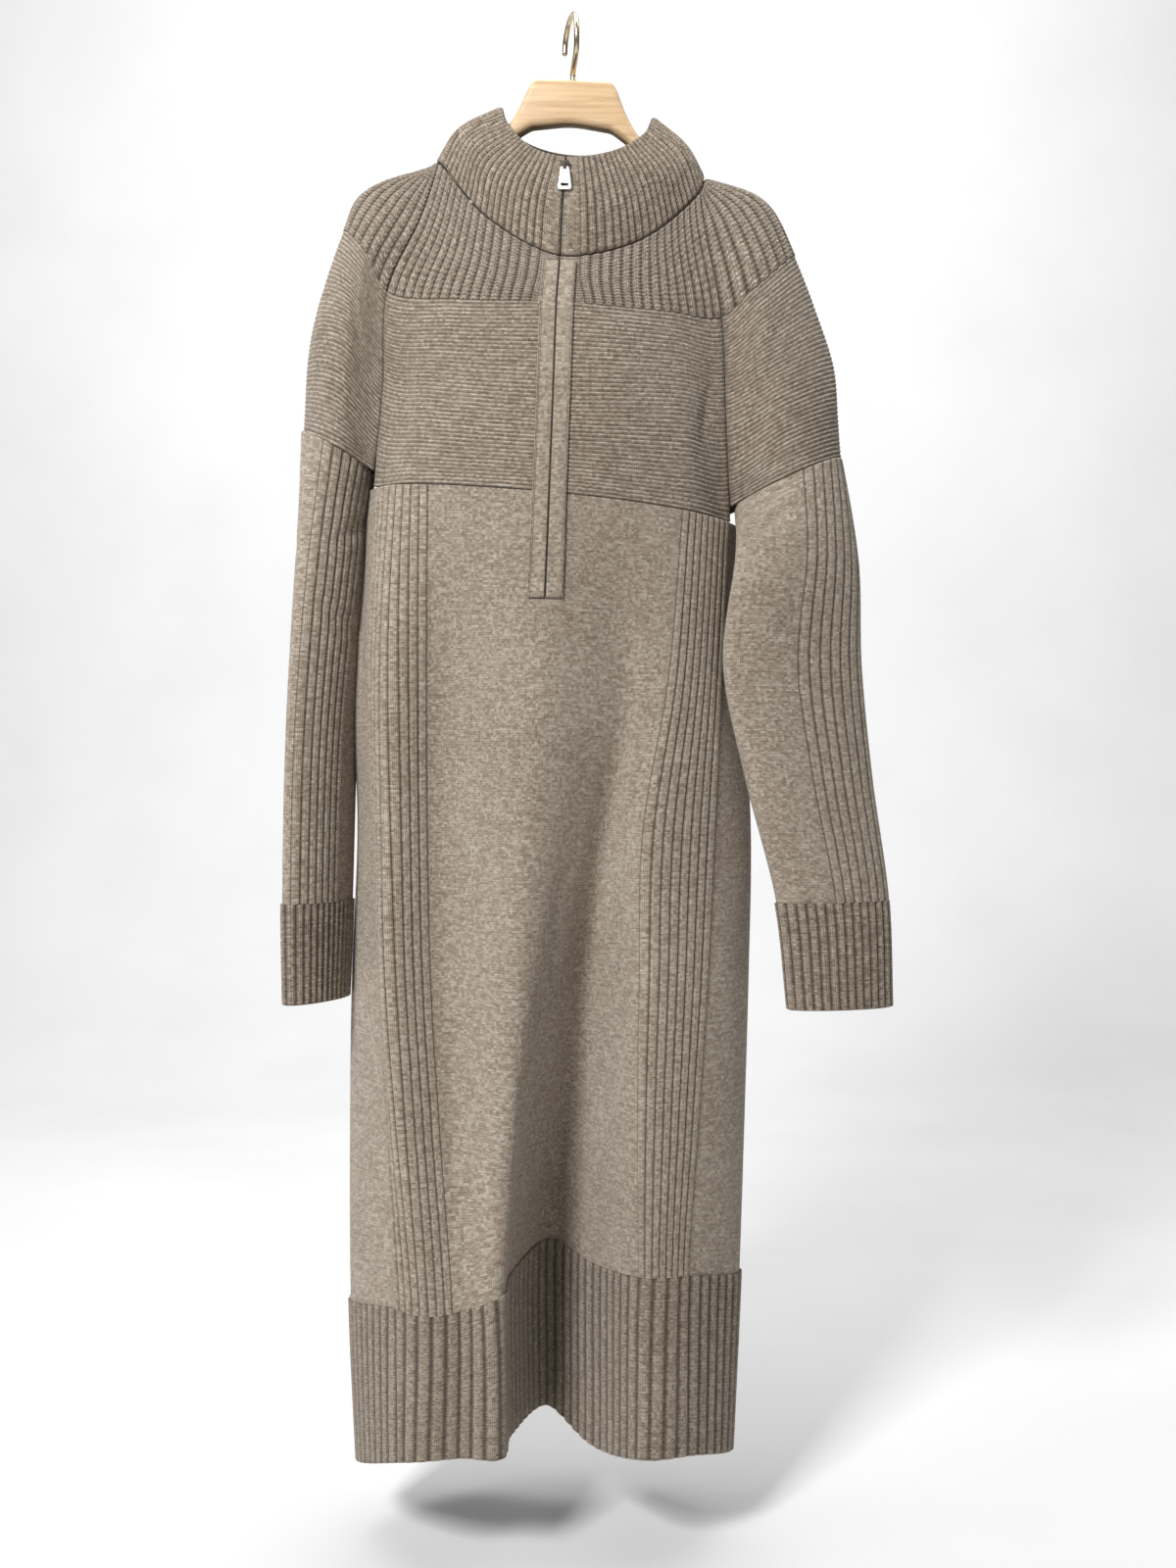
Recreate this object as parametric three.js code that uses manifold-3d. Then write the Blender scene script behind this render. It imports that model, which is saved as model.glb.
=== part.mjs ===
// Knitted sweater dress on a wooden hanger. Millimetres, +Z up, the wearer's front faces -Y.
// The origin is the inside of the hook's crown, where a rail bears.
import * as THREE from 'three';
import { mergeVertices } from 'three/addons/utils/BufferGeometryUtils.js';
import Module from 'manifold-3d';

const wasm = await Module();
wasm.setup();

// Driving sizes
const WALL = 3.0; // knit thickness between the ribs
const GAP = 0.3; // clearance between pieces at a seam
const RIB_HEIGHT = 1.8; // rise of the body, sleeve and yoke ribs
const TRIM_RIB_HEIGHT = 1.9; // rise of the collar, cuff and hem ribs
const PLACKET = { width: 13, thick: 2.2, top: -250, bottom: -546, halfSlit: 1.6 };
const CHAIN = { width: 2.4, thick: 1.5 }; // the closed row of zip teeth
const SLIDER = { x: -5, y: -64.6, z: -162, lean: -17, height: 11, thick: 3.4, lug: 2.2 };
const TAB = { top: 8, bottom: 12.5, length: 21, thick: 1.6, lean: 10, window: { width: 6.5, height: 2.7 } };
const HANGER = { thick: 17, bevel: 4, tilt: -2.2, x: 4 };
const HOOK = { wire: 2.6, crown: 21, turn: 14, tip: 188 };

// Numbers of ribs, all round unless a side is named
const RIBS = {
  collar: 80, yokeFrontSide: 15, yokeBack: 26, cap: 15, bodyBand: 8, sleeveBand: 7,
  frontHem: 52, backHem: 50, cuff: 28,
};

// Heights of the seams, each a plane across the dress: z where x = 0, and its slope along x
const SEAMS = {
  body: { z: -456, slope: -0.098 },
  sleeveLeft: { z: -522, slope: -0.55 },
  sleeveRight: { z: -524, slope: 0.469 },
};
const heightOn = (seam, x) => seam.z + seam.slope * x;

// The yoke with its sleeve caps: a row for each line that runs down from the neck, and a
// column for each level. Each place is [x, y, z]; the lines go round from the zip by the
// right sleeve and the back to the left sleeve.
const YOKE_LEVELS = ['neck', 'shoulder', 'ribEnd', 'bust', 'chest'];
const YOKE_LINES = [
  { line: 'zip', neck: [-9, -75, -243], shoulder: [-11, -84, -266], ribEnd: [-12, -90, -288],
    bust: [-15, -97, -377], chest: [-18, -98, -455] },
  { line: 'front right', neck: [59, -60, -226], shoulder: [64, -71, -256], ribEnd: [84, -74, -292],
    bust: [95, -76, -375], chest: [101, -72, -466] },
  { line: 'front raglan right', neck: [117, -15, -166], shoulder: [122, -36, -211],
    ribEnd: [135, -50, -290], bust: [139, -46, -375], chest: [144, -32, -464] },
  { line: 'cap front right', neck: [121, -6, -154], shoulder: [147, -27, -190],
    ribEnd: [165, -54, -264], bust: [187, -60, -352], chest: [199, -59, -431] },
  { line: 'cap outer right', neck: [122, 6, -147], shoulder: [176, -2, -170],
    ribEnd: [203, -8, -222], bust: [236, -16, -325], chest: [245, -14, -409] },
  { line: 'cap back right', neck: [119, 17, -148], shoulder: [152, 22, -182],
    ribEnd: [178, 32, -245], bust: [196, 34, -352], chest: [200, 30, -430] },
  { line: 'back raglan right', neck: [113, 27, -155], shoulder: [122, 42, -212],
    ribEnd: [136, 52, -285], bust: [142, 44, -375], chest: [147, 22, -462] },
  { line: 'back right', neck: [62, 46, -166], shoulder: [68, 60, -232], ribEnd: [80, 70, -292],
    bust: [88, 75, -375], chest: [90, 74, -465] },
  { line: 'back centre', neck: [-2, 52, -170], shoulder: [-2, 68, -240], ribEnd: [-6, 76, -295],
    bust: [-12, 81, -378], chest: [-16, 82, -454] },
  { line: 'back left', neck: [-65, 46, -163], shoulder: [-74, 60, -228], ribEnd: [-98, 70, -285],
    bust: [-114, 75, -370], chest: [-122, 72, -444] },
  { line: 'back raglan left', neck: [-114, 27, -147], shoulder: [-136, 42, -198],
    ribEnd: [-160, 50, -262], bust: [-170, 42, -350], chest: [-179, 24, -430] },
  { line: 'cap back left', neck: [-120, 17, -139], shoulder: [-162, 20, -176],
    ribEnd: [-192, 24, -222], bust: [-218, 26, -310], chest: [-228, 22, -397] },
  { line: 'cap outer left', neck: [-123, 6, -136], shoulder: [-191, -2, -163],
    ribEnd: [-207, -8, -199], bust: [-235, -20, -300], chest: [-241, -26, -389] },
  { line: 'cap front left', neck: [-123, -4, -136], shoulder: [-156, -24, -178],
    ribEnd: [-186, -42, -227], bust: [-203, -56, -310], chest: [-211, -60, -406] },
  { line: 'front raglan left', neck: [-120, -12, -138], shoulder: [-136, -34, -197],
    ribEnd: [-164, -47, -266], bust: [-168, -46, -350], chest: [-178, -33, -432] },
  { line: 'front left', neck: [-72, -58, -205], shoulder: [-80, -70, -245], ribEnd: [-97, -76, -282],
    bust: [-118, -78, -365], chest: [-136, -73, -443] },
];
const YOKE = { zip: 0, rightFront: 2, rightBack: 6, leftBack: 10, leftFront: 14, round: 16 };

// The collar's top edge and the swell half way up, on the same lines as the neck seam
const COLLAR_LINES = [
  { swell: [-7, -74, -196], top: [-4, -60, -150] }, { swell: [52, -60, -184], top: [37, -47, -140] },
  { swell: [99, -20, -132], top: [67, -20, -113] }, { swell: [103, -9, -122], top: [72, -10, -100] },
  { swell: [104, 4, -117], top: [74, 1, -92] }, { swell: [101, 15, -119], top: [72, 11, -97] },
  { swell: [94, 25, -126], top: [66, 20, -103] }, { swell: [50, 44, -138], top: [38, 31, -110] },
  { swell: [-1, 50, -141], top: [2, 35, -112] }, { swell: [-52, 44, -133], top: [-33, 31, -106] },
  { swell: [-94, 25, -114], top: [-56, 20, -96] }, { swell: [-99, 15, -106], top: [-61, 11, -88] },
  { swell: [-102, 5, -103], top: [-63, 1, -83] }, { swell: [-102, -7, -106], top: [-62, -9, -89] },
  { swell: [-99, -15, -112], top: [-58, -19, -103] }, { swell: [-62, -58, -165], top: [-34, -46, -137] },
];

// The skirt: a row for each line or fold crest that runs down it, with its [x, y] at each
// level and its height where the hem's ribs start and end. The lines go round from the left side by the front to the right side and the back.
const SKIRT_HEIGHTS = { waist: -615, hip: -750, thigh: -885, knee: -1015 };
const SKIRT_LEVELS = ['chest', 'waist', 'hip', 'thigh', 'knee', 'ribTop', 'hem'];
const SKIRT_LINES = [
  { line: 'left side', chest: [-178, 0], waist: [-195, 5], hip: [-197, 8], thigh: [-203, 12],
    knee: [-205, 12], ribTop: [-204, 10, -1184], hem: [-197, 8, -1333] },
  { line: 'left band edge', chest: [-174, -34], waist: [-181, -38], hip: [-176, -42],
    thigh: [-170, -52], knee: [-162, -64], ribTop: [-152, -82, -1165], hem: [-147, -90, -1297] },
  { line: 'left crest', chest: [-154, -60], waist: [-160, -66], hip: [-160, -70],
    thigh: [-160, -76], knee: [-146, -86], ribTop: [-126, -98, -1167], hem: [-122, -104, -1290] },
  { line: 'left dip', chest: [-112, -82], waist: [-116, -54], hip: [-116, -50], thigh: [-111, -56],
    knee: [-104, -72], ribTop: [-94, -94, -1164], hem: [-92, -100, -1289] },
  { line: 'middle crest', chest: [-32, -97], waist: [-31, -97], hip: [-38, -97], thigh: [-46, -99],
    knee: [-56, -101], ribTop: [-62, -103, -1150], hem: [-62, -104, -1289] },
  { line: 'behind the crest', chest: [2, -97], waist: [10, -86], hip: [-2, -78], thigh: [-19, -66],
    knee: [-40, -54], ribTop: [-56, -48, -1145], hem: [-56, -46, -1292] },
  { line: 'valley', chest: [36, -94], waist: [48, -70], hip: [30, -44], thigh: [12, -18],
    knee: [-2, 10], ribTop: [-20, 36, -1136], hem: [-22, 40, -1297] },
  { line: 'right flank', chest: [66, -87], waist: [64, -74], hip: [48, -60], thigh: [40, -48],
    knee: [26, -28], ribTop: [20, -10, -1146], hem: [20, -6, -1316] },
  { line: 'right crest', chest: [101, -72], waist: [88, -76], hip: [66, -78], thigh: [64, -78],
    knee: [64, -76], ribTop: [66, -76, -1140], hem: [68, -78, -1300] },
  { line: 'right band edge', chest: [141, -34], waist: [134, -44], hip: [128, -48],
    thigh: [121, -54], knee: [112, -58], ribTop: [103, -64, -1142], hem: [104, -66, -1301] },
  { line: 'right side', chest: [146, 0], waist: [158, 6], hip: [166, 8], thigh: [164, 8],
    knee: [160, 6], ribTop: [155, 4, -1158], hem: [147, 2, -1322] },
  { line: 'back right', chest: [124, 48], waist: [136, 50], hip: [140, 52], thigh: [138, 54],
    knee: [132, 56], ribTop: [126, 56, -1154], hem: [120, 56, -1318] },
  { line: 'back crest right', chest: [60, 78], waist: [70, 84], hip: [74, 90], thigh: [74, 96],
    knee: [70, 100], ribTop: [64, 104, -1146], hem: [60, 106, -1306] },
  { line: 'back dip', chest: [-16, 83], waist: [-8, 77], hip: [-4, 73], thigh: [-2, 71],
    knee: [0, 73], ribTop: [4, 77, -1142], hem: [4, 79, -1302] },
  { line: 'back crest left', chest: [-92, 80], waist: [-86, 88], hip: [-86, 94], thigh: [-88, 98],
    knee: [-92, 100], ribTop: [-96, 100, -1152], hem: [-96, 98, -1310] },
  { line: 'back left', chest: [-156, 46], waist: [-164, 50], hip: [-168, 52], thigh: [-172, 54],
    knee: [-174, 56], ribTop: [-174, 56, -1174], hem: [-168, 54, -1326] },
];
const SKIRT_ROWS = [0, 0.3, 0.6, 1.1, 1.8, 2.6, 3.4, 4.2];
const HEM_SEAM = { above: 4.998, below: 5.002 }; // the two sides of the hem's join, in levels
const SKIRT = { leftSide: 0, rightSide: 10, round: 16 };
const FRONT_BANDS = [{ from: 1, to: 2.75 }, { from: 7.9, to: 9 }];
const BACK_BANDS = [{ from: 11, to: 12 }, { from: 14, to: 15 }];

// The sleeves below the caps: a row for each section, an ellipse with its centre, half its
// length and width, and its turn in plan from the X axis
const SLEEVE_LEFT = [
  { z: -405, x: -213, y: -14, long: 47, short: 28, turn: 75 },
  { z: -510, x: -222, y: -17, long: 50, short: 20, turn: 67 },
  { z: -660, x: -229, y: -27, long: 48, short: 17, turn: 64 },
  { z: -813, x: -232, y: -33, long: 47, short: 15.5, turn: 64 },
  { z: -902, x: -233, y: -35, long: 43, short: 14, turn: 64 },
];
const SLEEVE_RIGHT = [
  { z: -430, x: 202, y: -16, long: 46, short: 44, turn: 20 },
  { z: -500, x: 203, y: -42, long: 60, short: 27, turn: 26 },
  { z: -600, x: 199, y: -44, long: 67, short: 23, turn: 22 },
  { z: -700, x: 214, y: -38, long: 61, short: 21, turn: 20 },
  { z: -813, x: 236, y: -36, long: 53, short: 19, turn: 18 },
  { z: -909, x: 243, y: -36, long: 48, short: 17, turn: 15 },
];
const SLEEVE_BAND = { from: 0.23, to: 0.47 };

// Half of the hanger's outline, from its neck to the end of its arm: x and the heights of
// its top and underside
const HANGER_OUTLINE = [
  { x: 0, top: -58, under: -98 }, { x: 36, top: -58, under: -103 }, { x: 41, top: -66, under: -106 },
  { x: 50, top: -88, under: -112 }, { x: 61, top: -106, under: -122 }, { x: 80, top: -125, under: -142 },
  { x: 110, top: -146, under: -167 }, { x: 150, top: -166, under: -188 },
  { x: 178, top: -185, under: -206 }, { x: 189, top: -197, under: -211 },
];

// Materials
const finish = (color, roughness, metalness) =>
  new THREE.MeshStandardMaterial({ color, roughness, metalness });
const knit = finish(0xa39788, 0.95, 0);
const rib = finish(0x9c9081, 0.95, 0);
const wood = finish(0xd0a878, 0.45, 0);
const gold = finish(0xc9b58c, 0.25, 1);
const silver = finish(0xb9b9b9, 0.3, 1);
const gunmetal = finish(0x4a4744, 0.4, 0.9);

// Smooth curve through four neighbouring points: a centripetal Catmull-Rom segment
function smoothPoint(a, b, c, d, t) {
  const gap = (p, q) => Math.max(Math.sqrt(p.distanceTo(q)), 1e-3);
  const [before, here, after] = [gap(a, b), gap(b, c), gap(c, d)];
  const slope = (p, q, r, first, second) => q.clone().sub(p).divideScalar(first)
    .sub(r.clone().sub(p).divideScalar(first + second))
    .add(r.clone().sub(q).divideScalar(second)).multiplyScalar(here);
  const start = slope(a, b, c, before, here);
  const end = slope(b, c, d, here, after);
  const [t2, t3] = [t * t, t * t * t];
  return b.clone().multiplyScalar(2 * t3 - 3 * t2 + 1).addScaledVector(start, t3 - 2 * t2 + t)
    .addScaledVector(c, 3 * t2 - 2 * t3).addScaledVector(end, t3 - t2);
}

// Smooth closed curve through rows of points, u counted in points
function roundCurve(points, u) {
  const count = points.length;
  const start = Math.floor(u);
  const at = (i) => points[((start + i) % count + count) % count];
  return smoothPoint(at(-1), at(0), at(1), at(2), u - start);
}

// Smooth open curve through points, v counted in points
function openCurve(points, v) {
  const last = points.length - 1;
  const start = Math.min(Math.max(Math.floor(v), 0), last - 1);
  const mirrored = (edge, inner) => edge.clone().multiplyScalar(2).sub(inner);
  const before = start > 0 ? points[start - 1] : mirrored(points[0], points[1]);
  const after = start < last - 1 ? points[start + 2] : mirrored(points[last], points[last - 1]);
  return smoothPoint(before, points[start], points[start + 1], after, v - start);
}

// A surface from closed level curves: u runs round, v runs down from level to level
function levelSurface(levels) {
  return (u, v) => openCurve(levels.map((points) => roundCurve(points, u)), v);
}

const vector = (place) => new THREE.Vector3(...place);
const yokeSurface = levelSurface(
  YOKE_LEVELS.map((level) => YOKE_LINES.map((row) => vector(row[level]))));
const collarSurface = levelSurface([
  COLLAR_LINES.map((row) => vector(row.top)), COLLAR_LINES.map((row) => vector(row.swell)),
  YOKE_LINES.map((row) => vector(row.neck))]);

const skirtSurface = levelSurface(SKIRT_LEVELS.map((level) => SKIRT_LINES.map((row) => {
  const [x, y, z = SKIRT_HEIGHTS[level] ?? heightOn(SEAMS.body, x)] = row[level];
  return new THREE.Vector3(x, y, z);
})));

// A sleeve's surface: u from 0 to 1 runs from the inner side by the front to the outer side
function sleeveSurface(sections, side) {
  return (u, v) => openCurve(sections.map((row) => {
    const angle = side > 0 ? Math.PI * (1 + 2 * u) : -2 * Math.PI * u;
    const turn = THREE.MathUtils.degToRad(row.turn);
    const along = row.long * Math.cos(angle);
    const across = row.short * Math.sin(angle);
    return new THREE.Vector3(row.x + along * Math.cos(turn) - across * Math.sin(turn),
      row.y + along * Math.sin(turn) + across * Math.cos(turn), row.z);
  }), v);
}

// Unit normal of a surface, pointing out of the cloth
function normalOf(surface, u, v, uStep, outward) {
  const vStep = 0.02;
  const across = surface(u + uStep, v).sub(surface(u - uStep, v));
  const down = surface(u, v + vStep).sub(surface(u, v - vStep));
  return across.cross(down).normalize().multiplyScalar(outward);
}

// Turns shares of the arc between two values of u into values of u, on one row
function evenly(surface, v, from, to) {
  const steps = 48;
  const lengths = [0];
  let last = surface(from, v);
  for (let i = 1; i <= steps; i += 1) {
    const point = surface(from + (to - from) * i / steps, v);
    lengths.push(lengths[i - 1] + point.distanceTo(last));
    last = point;
  }
  return (share) => {
    const target = share * lengths[steps];
    let i = 1;
    while (i < steps && lengths[i] < target) i += 1;
    const part = (target - lengths[i - 1]) / (lengths[i] - lengths[i - 1]);
    return from + (to - from) * (i - 1 + part) / steps;
  };
}

// Columns of one stretch of cloth. A plain stretch has even columns; a ribbed one has the
// places and heights of its profile repeated for each rib.
const ZIGZAG = [{ at: 0, rise: 0 }, { at: 0.5, rise: 1 }];
const WIDE = [{ at: 0, rise: 0 }, { at: 0.22, rise: 1 }, { at: 0.78, rise: 1 }];

function plainStretch(from, to, count) {
  return { from, to, columns: Array.from({ length: count }, (_, i) => ({ share: i / count, rise: 0 })) };
}

function ribStretch(from, to, ribs, profile, height) {
  const columns = [];
  for (let i = 0; i < ribs; i += 1) {
    for (const { at, rise } of profile) columns.push({ share: (i + at) / ribs, rise: rise * height });
  }
  return { from, to, columns };
}

// Rows of points of a cloth wall's two faces
function clothFaces({ surface, stretches, inner, rows, uStep, outward, edges, closed }) {
  const last = stretches[stretches.length - 1];
  const pointAt = (u, v, row, offset) => {
    const point = surface(u, v);
    const edge = edges?.[row === 0 ? 'top' : row === rows.length - 1 ? 'bottom' : 'none'];
    const normal = edge?.direction ? edge.direction(u) : normalOf(surface, u, v, uStep, outward);
    if (edge?.height) normal.setZ(0).normalize();
    point.addScaledVector(normal, offset);
    if (edge?.height) point.z = edge.height(point.x);
    return point;
  };
  const ends = (v) => {
    if (closed) return [0, 0];
    const speed = (u) => surface(u + uStep, v).distanceTo(surface(u - uStep, v)) / (2 * uStep);
    return [GAP / 2 / speed(stretches[0].from), GAP / 2 / speed(last.to)];
  };
  const outer = rows.map((v, row) => {
    const [inset, outset] = ends(v);
    const points = [];
    for (const stretch of stretches) {
      const from = stretch === stretches[0] ? stretch.from + inset : stretch.from;
      const to = stretch === last ? stretch.to - outset : stretch.to;
      const place = evenly(surface, v, from, to);
      for (const { share, rise } of stretch.columns) {
        const u = place(share);
        points.push({ u, point: pointAt(u, v, row, WALL / 2 + rise) });
      }
    }
    if (!closed) {
      const u = last.to - outset;
      points.push({ u, point: pointAt(u, v, row, WALL / 2) });
    }
    return points;
  });
  const lining = rows.map((v, row) => {
    const [inset, outset] = ends(v);
    const from = stretches[0].from + inset;
    const to = last.to - outset;
    const points = [];
    for (let i = 0; i <= inner - (closed ? 1 : 0); i += 1) {
      const u = from + (to - from) * i / inner;
      points.push({ u, point: pointAt(u, v, row, -WALL / 2) });
    }
    return points;
  });
  return { outer, lining };
}

// A closed solid from a list of triangles
function solid(triangles) {
  const geometry = new THREE.BufferGeometry();
  const numbers = triangles.flatMap((triangle) => triangle.flatMap((p) => [p.x, p.y, p.z]));
  geometry.setAttribute('position', new THREE.Float32BufferAttribute(numbers, 3));
  const merged = mergeVertices(geometry, 1e-4);
  merged.computeVertexNormals();
  return merged;
}

// Two-sided cloth wall: fine outer face, plain inner face, and rims that join them
function clothWall(options) {
  const { outer, lining } = clothFaces(options);
  const { closed, outward } = options;
  const triangles = [];
  const add = (a, b, c) => triangles.push(outward > 0 ? [a, b, c] : [a, c, b]);
  const face = (rows, flip) => {
    for (let r = 0; r + 1 < rows.length; r += 1) {
      const count = rows[r].length;
      for (let c = 0; c < (closed ? count : count - 1); c += 1) {
        const next = (c + 1) % count;
        const [a, b] = [rows[r][c].point, rows[r][next].point];
        const [d, e] = [rows[r + 1][c].point, rows[r + 1][next].point];
        if (flip) { add(a, b, e); add(a, e, d); } else { add(a, e, b); add(a, d, e); }
      }
    }
  };
  const rim = (outerRow, innerRow, flip) => {
    const wrap = (row) => (closed ? [...row, { ...row[0], u: row[0].u + options.period }] : row);
    const [first, second] = [wrap(outerRow), wrap(innerRow)];
    let [i, j] = [0, 0];
    while (i < first.length - 1 || j < second.length - 1) {
      const stepOuter = j === second.length - 1
        || (i < first.length - 1 && first[i + 1].u <= second[j + 1].u);
      const [a, b] = [first[i].point, second[j].point];
      const c = stepOuter ? first[i + 1].point : second[j + 1].point;
      if (flip) add(a, b, c); else add(a, c, b);
      if (stepOuter) i += 1; else j += 1;
    }
  };
  face(outer, true);
  face(lining, false);
  rim(outer[0], lining[0], true);
  rim(outer[outer.length - 1], lining[lining.length - 1], false);
  if (!closed) {
    for (let r = 0; r + 1 < outer.length; r += 1) {
      for (const [flip, pick] of [[true, (row) => row[0]], [false, (row) => row[row.length - 1]]]) {
        const [a, b] = [pick(outer[r]).point, pick(outer[r + 1]).point];
        const [d, e] = [pick(lining[r]).point, pick(lining[r + 1]).point];
        if (flip) { add(a, b, e); add(a, e, d); } else { add(a, e, b); add(a, d, e); }
      }
    }
  }
  return solid(triangles);
}

const dress = new THREE.Group();
const pieces = {};

function addPiece(name, geometry, material, parent = dress) {
  const mesh = new THREE.Mesh(geometry, material);
  mesh.name = name;
  pieces[name] = mesh;
  parent.add(mesh);
  return mesh;
}

// Even values from one end to the other, both included
const spread = (from, to, steps) => Array.from({ length: steps + 1 }, (_, i) => from + (to - from) * i / steps);
const seamHeight = (seam, side) => (x) => heightOn(seam, x) + side * GAP / 2;

// The collar and the yoke meet in a shared slant: the mean of their two normals
function neckDirection(u) {
  const up = normalOf(collarSurface, u, 2, 0.05, -1);
  return up.add(normalOf(yokeSurface, u, 0, 0.05, -1)).normalize();
}

const yokeCloth = { surface: yokeSurface, uStep: 0.05, outward: -1 };
const neckEdge = { direction: neckDirection };
const neckStart = 0.012; // the clearance of the neck seam, in levels
const collarSlit = 0.04; // half of the opening in the collar for the zip, in lines
const underPlacket = 0.25; // how far the plain cloth below a placket strip runs, in lines
const ribSeam = { above: 1.995, below: 2.003 }; // the cross seam's two sides, in levels

function makeCollar() {
  addPiece('collar', clothWall({
    surface: collarSurface, uStep: 0.05, outward: -1,
    stretches: [plainStretch(collarSlit, underPlacket, 1),
      ribStretch(underPlacket, YOKE.round - underPlacket, RIBS.collar, ZIGZAG, TRIM_RIB_HEIGHT),
      plainStretch(YOKE.round - underPlacket, YOKE.round - collarSlit, 1)],
    inner: 40, rows: [0, 0.6, 1.3, 2 - neckStart], edges: { bottom: neckEdge },
  }), rib);
}

const YOKE_PANELS = [
  { name: 'front_yoke', side: '_right', from: YOKE.zip, to: YOKE.rightFront, ribs: RIBS.yokeFrontSide,
    seam: SEAMS.body },
  { name: 'cap', side: '_right', from: YOKE.rightFront, to: YOKE.rightBack, ribs: RIBS.cap,
    seam: SEAMS.sleeveRight },
  { name: 'back_yoke', side: '', from: YOKE.rightBack, to: YOKE.leftBack, ribs: RIBS.yokeBack,
    seam: SEAMS.body },
  { name: 'cap', side: '_left', from: YOKE.leftBack, to: YOKE.leftFront, ribs: RIBS.cap,
    seam: SEAMS.sleeveLeft },
  { name: 'front_yoke', side: '_left', from: YOKE.leftFront, to: YOKE.round, ribs: RIBS.yokeFrontSide,
    seam: SEAMS.body },
];

// Each yoke panel is ribbed above its cross seam and flat below it, on the same columns
function makeYoke() {
  for (const { name, side, from, to, ribs, seam } of YOKE_PANELS) {
    const start = from === YOKE.zip ? underPlacket : from;
    const end = to === YOKE.round ? YOKE.round - underPlacket : to;
    const columns = (height) => [
      ...(start === from ? [] : [plainStretch(from, start, 3)]),
      ribStretch(start, end, ribs, ZIGZAG, height),
      ...(end === to ? [] : [plainStretch(end, to, 3)]),
    ];
    const inner = Math.round(ribs * 0.8);
    addPiece(`${name}_rib${side}`, clothWall({
      ...yokeCloth, stretches: columns(RIB_HEIGHT), inner, edges: { top: neckEdge },
      rows: [neckStart, 0.45, 0.95, 1.45, ribSeam.above],
    }), rib);
    addPiece(`${name}_garter${side}`, clothWall({
      ...yokeCloth, stretches: columns(0), inner, edges: { bottom: { height: seamHeight(seam, 1) } },
      rows: [ribSeam.below, 2.6, 3.3, 4],
    }), knit);
  }
}

function makeSkirt() {
  const cloth = { surface: skirtSurface, uStep: 0.05, outward: -1 };
  const panels = [
    { name: 'front', from: SKIRT.leftSide, to: SKIRT.rightSide, bands: FRONT_BANDS, hemRibs: RIBS.frontHem },
    { name: 'back', from: SKIRT.rightSide, to: SKIRT.round, bands: BACK_BANDS, hemRibs: RIBS.backHem },
  ];
  const columnsPerLine = 4;
  for (const { name, from, to, bands, hemRibs } of panels) {
    const stretches = [];
    let at = from;
    for (const band of [...bands, { from: to }]) {
      stretches.push(plainStretch(at, band.from, Math.max(2, Math.round((band.from - at) * columnsPerLine))));
      if (band.to) stretches.push(ribStretch(band.from, band.to, RIBS.bodyBand, WIDE, RIB_HEIGHT));
      at = band.to;
    }
    addPiece(`${name}_skirt`, clothWall({
      ...cloth, stretches, inner: (to - from) * 3, rows: [...SKIRT_ROWS, HEM_SEAM.above],
      edges: { top: { height: seamHeight(SEAMS.body, -1) } },
    }), knit);
    addPiece(`${name}_hem`, clothWall({
      ...cloth, stretches: [ribStretch(from, to, hemRibs, ZIGZAG, TRIM_RIB_HEIGHT)],
      inner: (to - from) * 3, rows: [HEM_SEAM.below, 5.5, 6],
    }), rib);
  }
}

function makeSleeve(name, sections, side, seam) {
  const surface = sleeveSurface(sections, side);
  const outward = side > 0 ? -1 : 1;
  const cuff = sections.length - 2;
  const cloth = { surface, uStep: 0.005, outward, closed: true, period: 1 };
  addPiece(`sleeve_${name}`, clothWall({
    ...cloth,
    stretches: [plainStretch(0, SLEEVE_BAND.from, 5),
      ribStretch(SLEEVE_BAND.from, SLEEVE_BAND.to, RIBS.sleeveBand, WIDE, RIB_HEIGHT),
      plainStretch(SLEEVE_BAND.to, 1, 12)],
    inner: 18, rows: spread(0, cuff, Math.round(cuff * 1.7)),
    edges: { top: { height: seamHeight(seam, -1) }, bottom: { height: () => sections[cuff].z + GAP / 2 } },
  }), knit);
  addPiece(`cuff_${name}`, clothWall({
    ...cloth, stretches: [ribStretch(0, 1, RIBS.cuff, ZIGZAG, TRIM_RIB_HEIGHT)],
    inner: 18, rows: [cuff, cuff + 1],
    edges: { top: { height: () => sections[cuff].z - GAP / 2 }, bottom: { height: () => sections[cuff + 1].z } },
  }), rib);
}

// The front's point and normal at a given x and z, found by stepping on its surface
function frontAt(x, z) {
  const onYoke = z > heightOn(SEAMS.body, x);
  const surface = onYoke ? yokeSurface : skirtSurface;
  let [u, v] = onYoke ? [0, 2.5] : [4.3, 0.3];
  const step = 0.01;
  for (let i = 0; i < 12; i += 1) {
    const here = surface(u, v);
    const byU = surface(u + step, v).sub(here).divideScalar(step);
    const byV = surface(u, v + step).sub(here).divideScalar(step);
    const area = byU.x * byV.z - byV.x * byU.z;
    const [missX, missZ] = [x - here.x, z - here.z];
    u += (missX * byV.z - byV.x * missZ) / area;
    v += (byU.x * missZ - missX * byU.z) / area;
  }
  return { point: surface(u, v), normal: normalOf(surface, u, v, 0.05, -1) };
}

// The zip's line down the front: its x at a height, from the yoke's line and then straight on
function zipAt(z) {
  const edge = YOKE_LINES[0];
  const marks = [edge.neck, edge.ribEnd, edge.bust, edge.chest, [-22, 0, PLACKET.bottom]];
  let i = 0;
  while (i < marks.length - 2 && z < marks[i + 1][2]) i += 1;
  const part = (z - marks[i][2]) / (marks[i + 1][2] - marks[i][2]);
  return marks[i][0] + (marks[i + 1][0] - marks[i][0]) * part;
}

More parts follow.
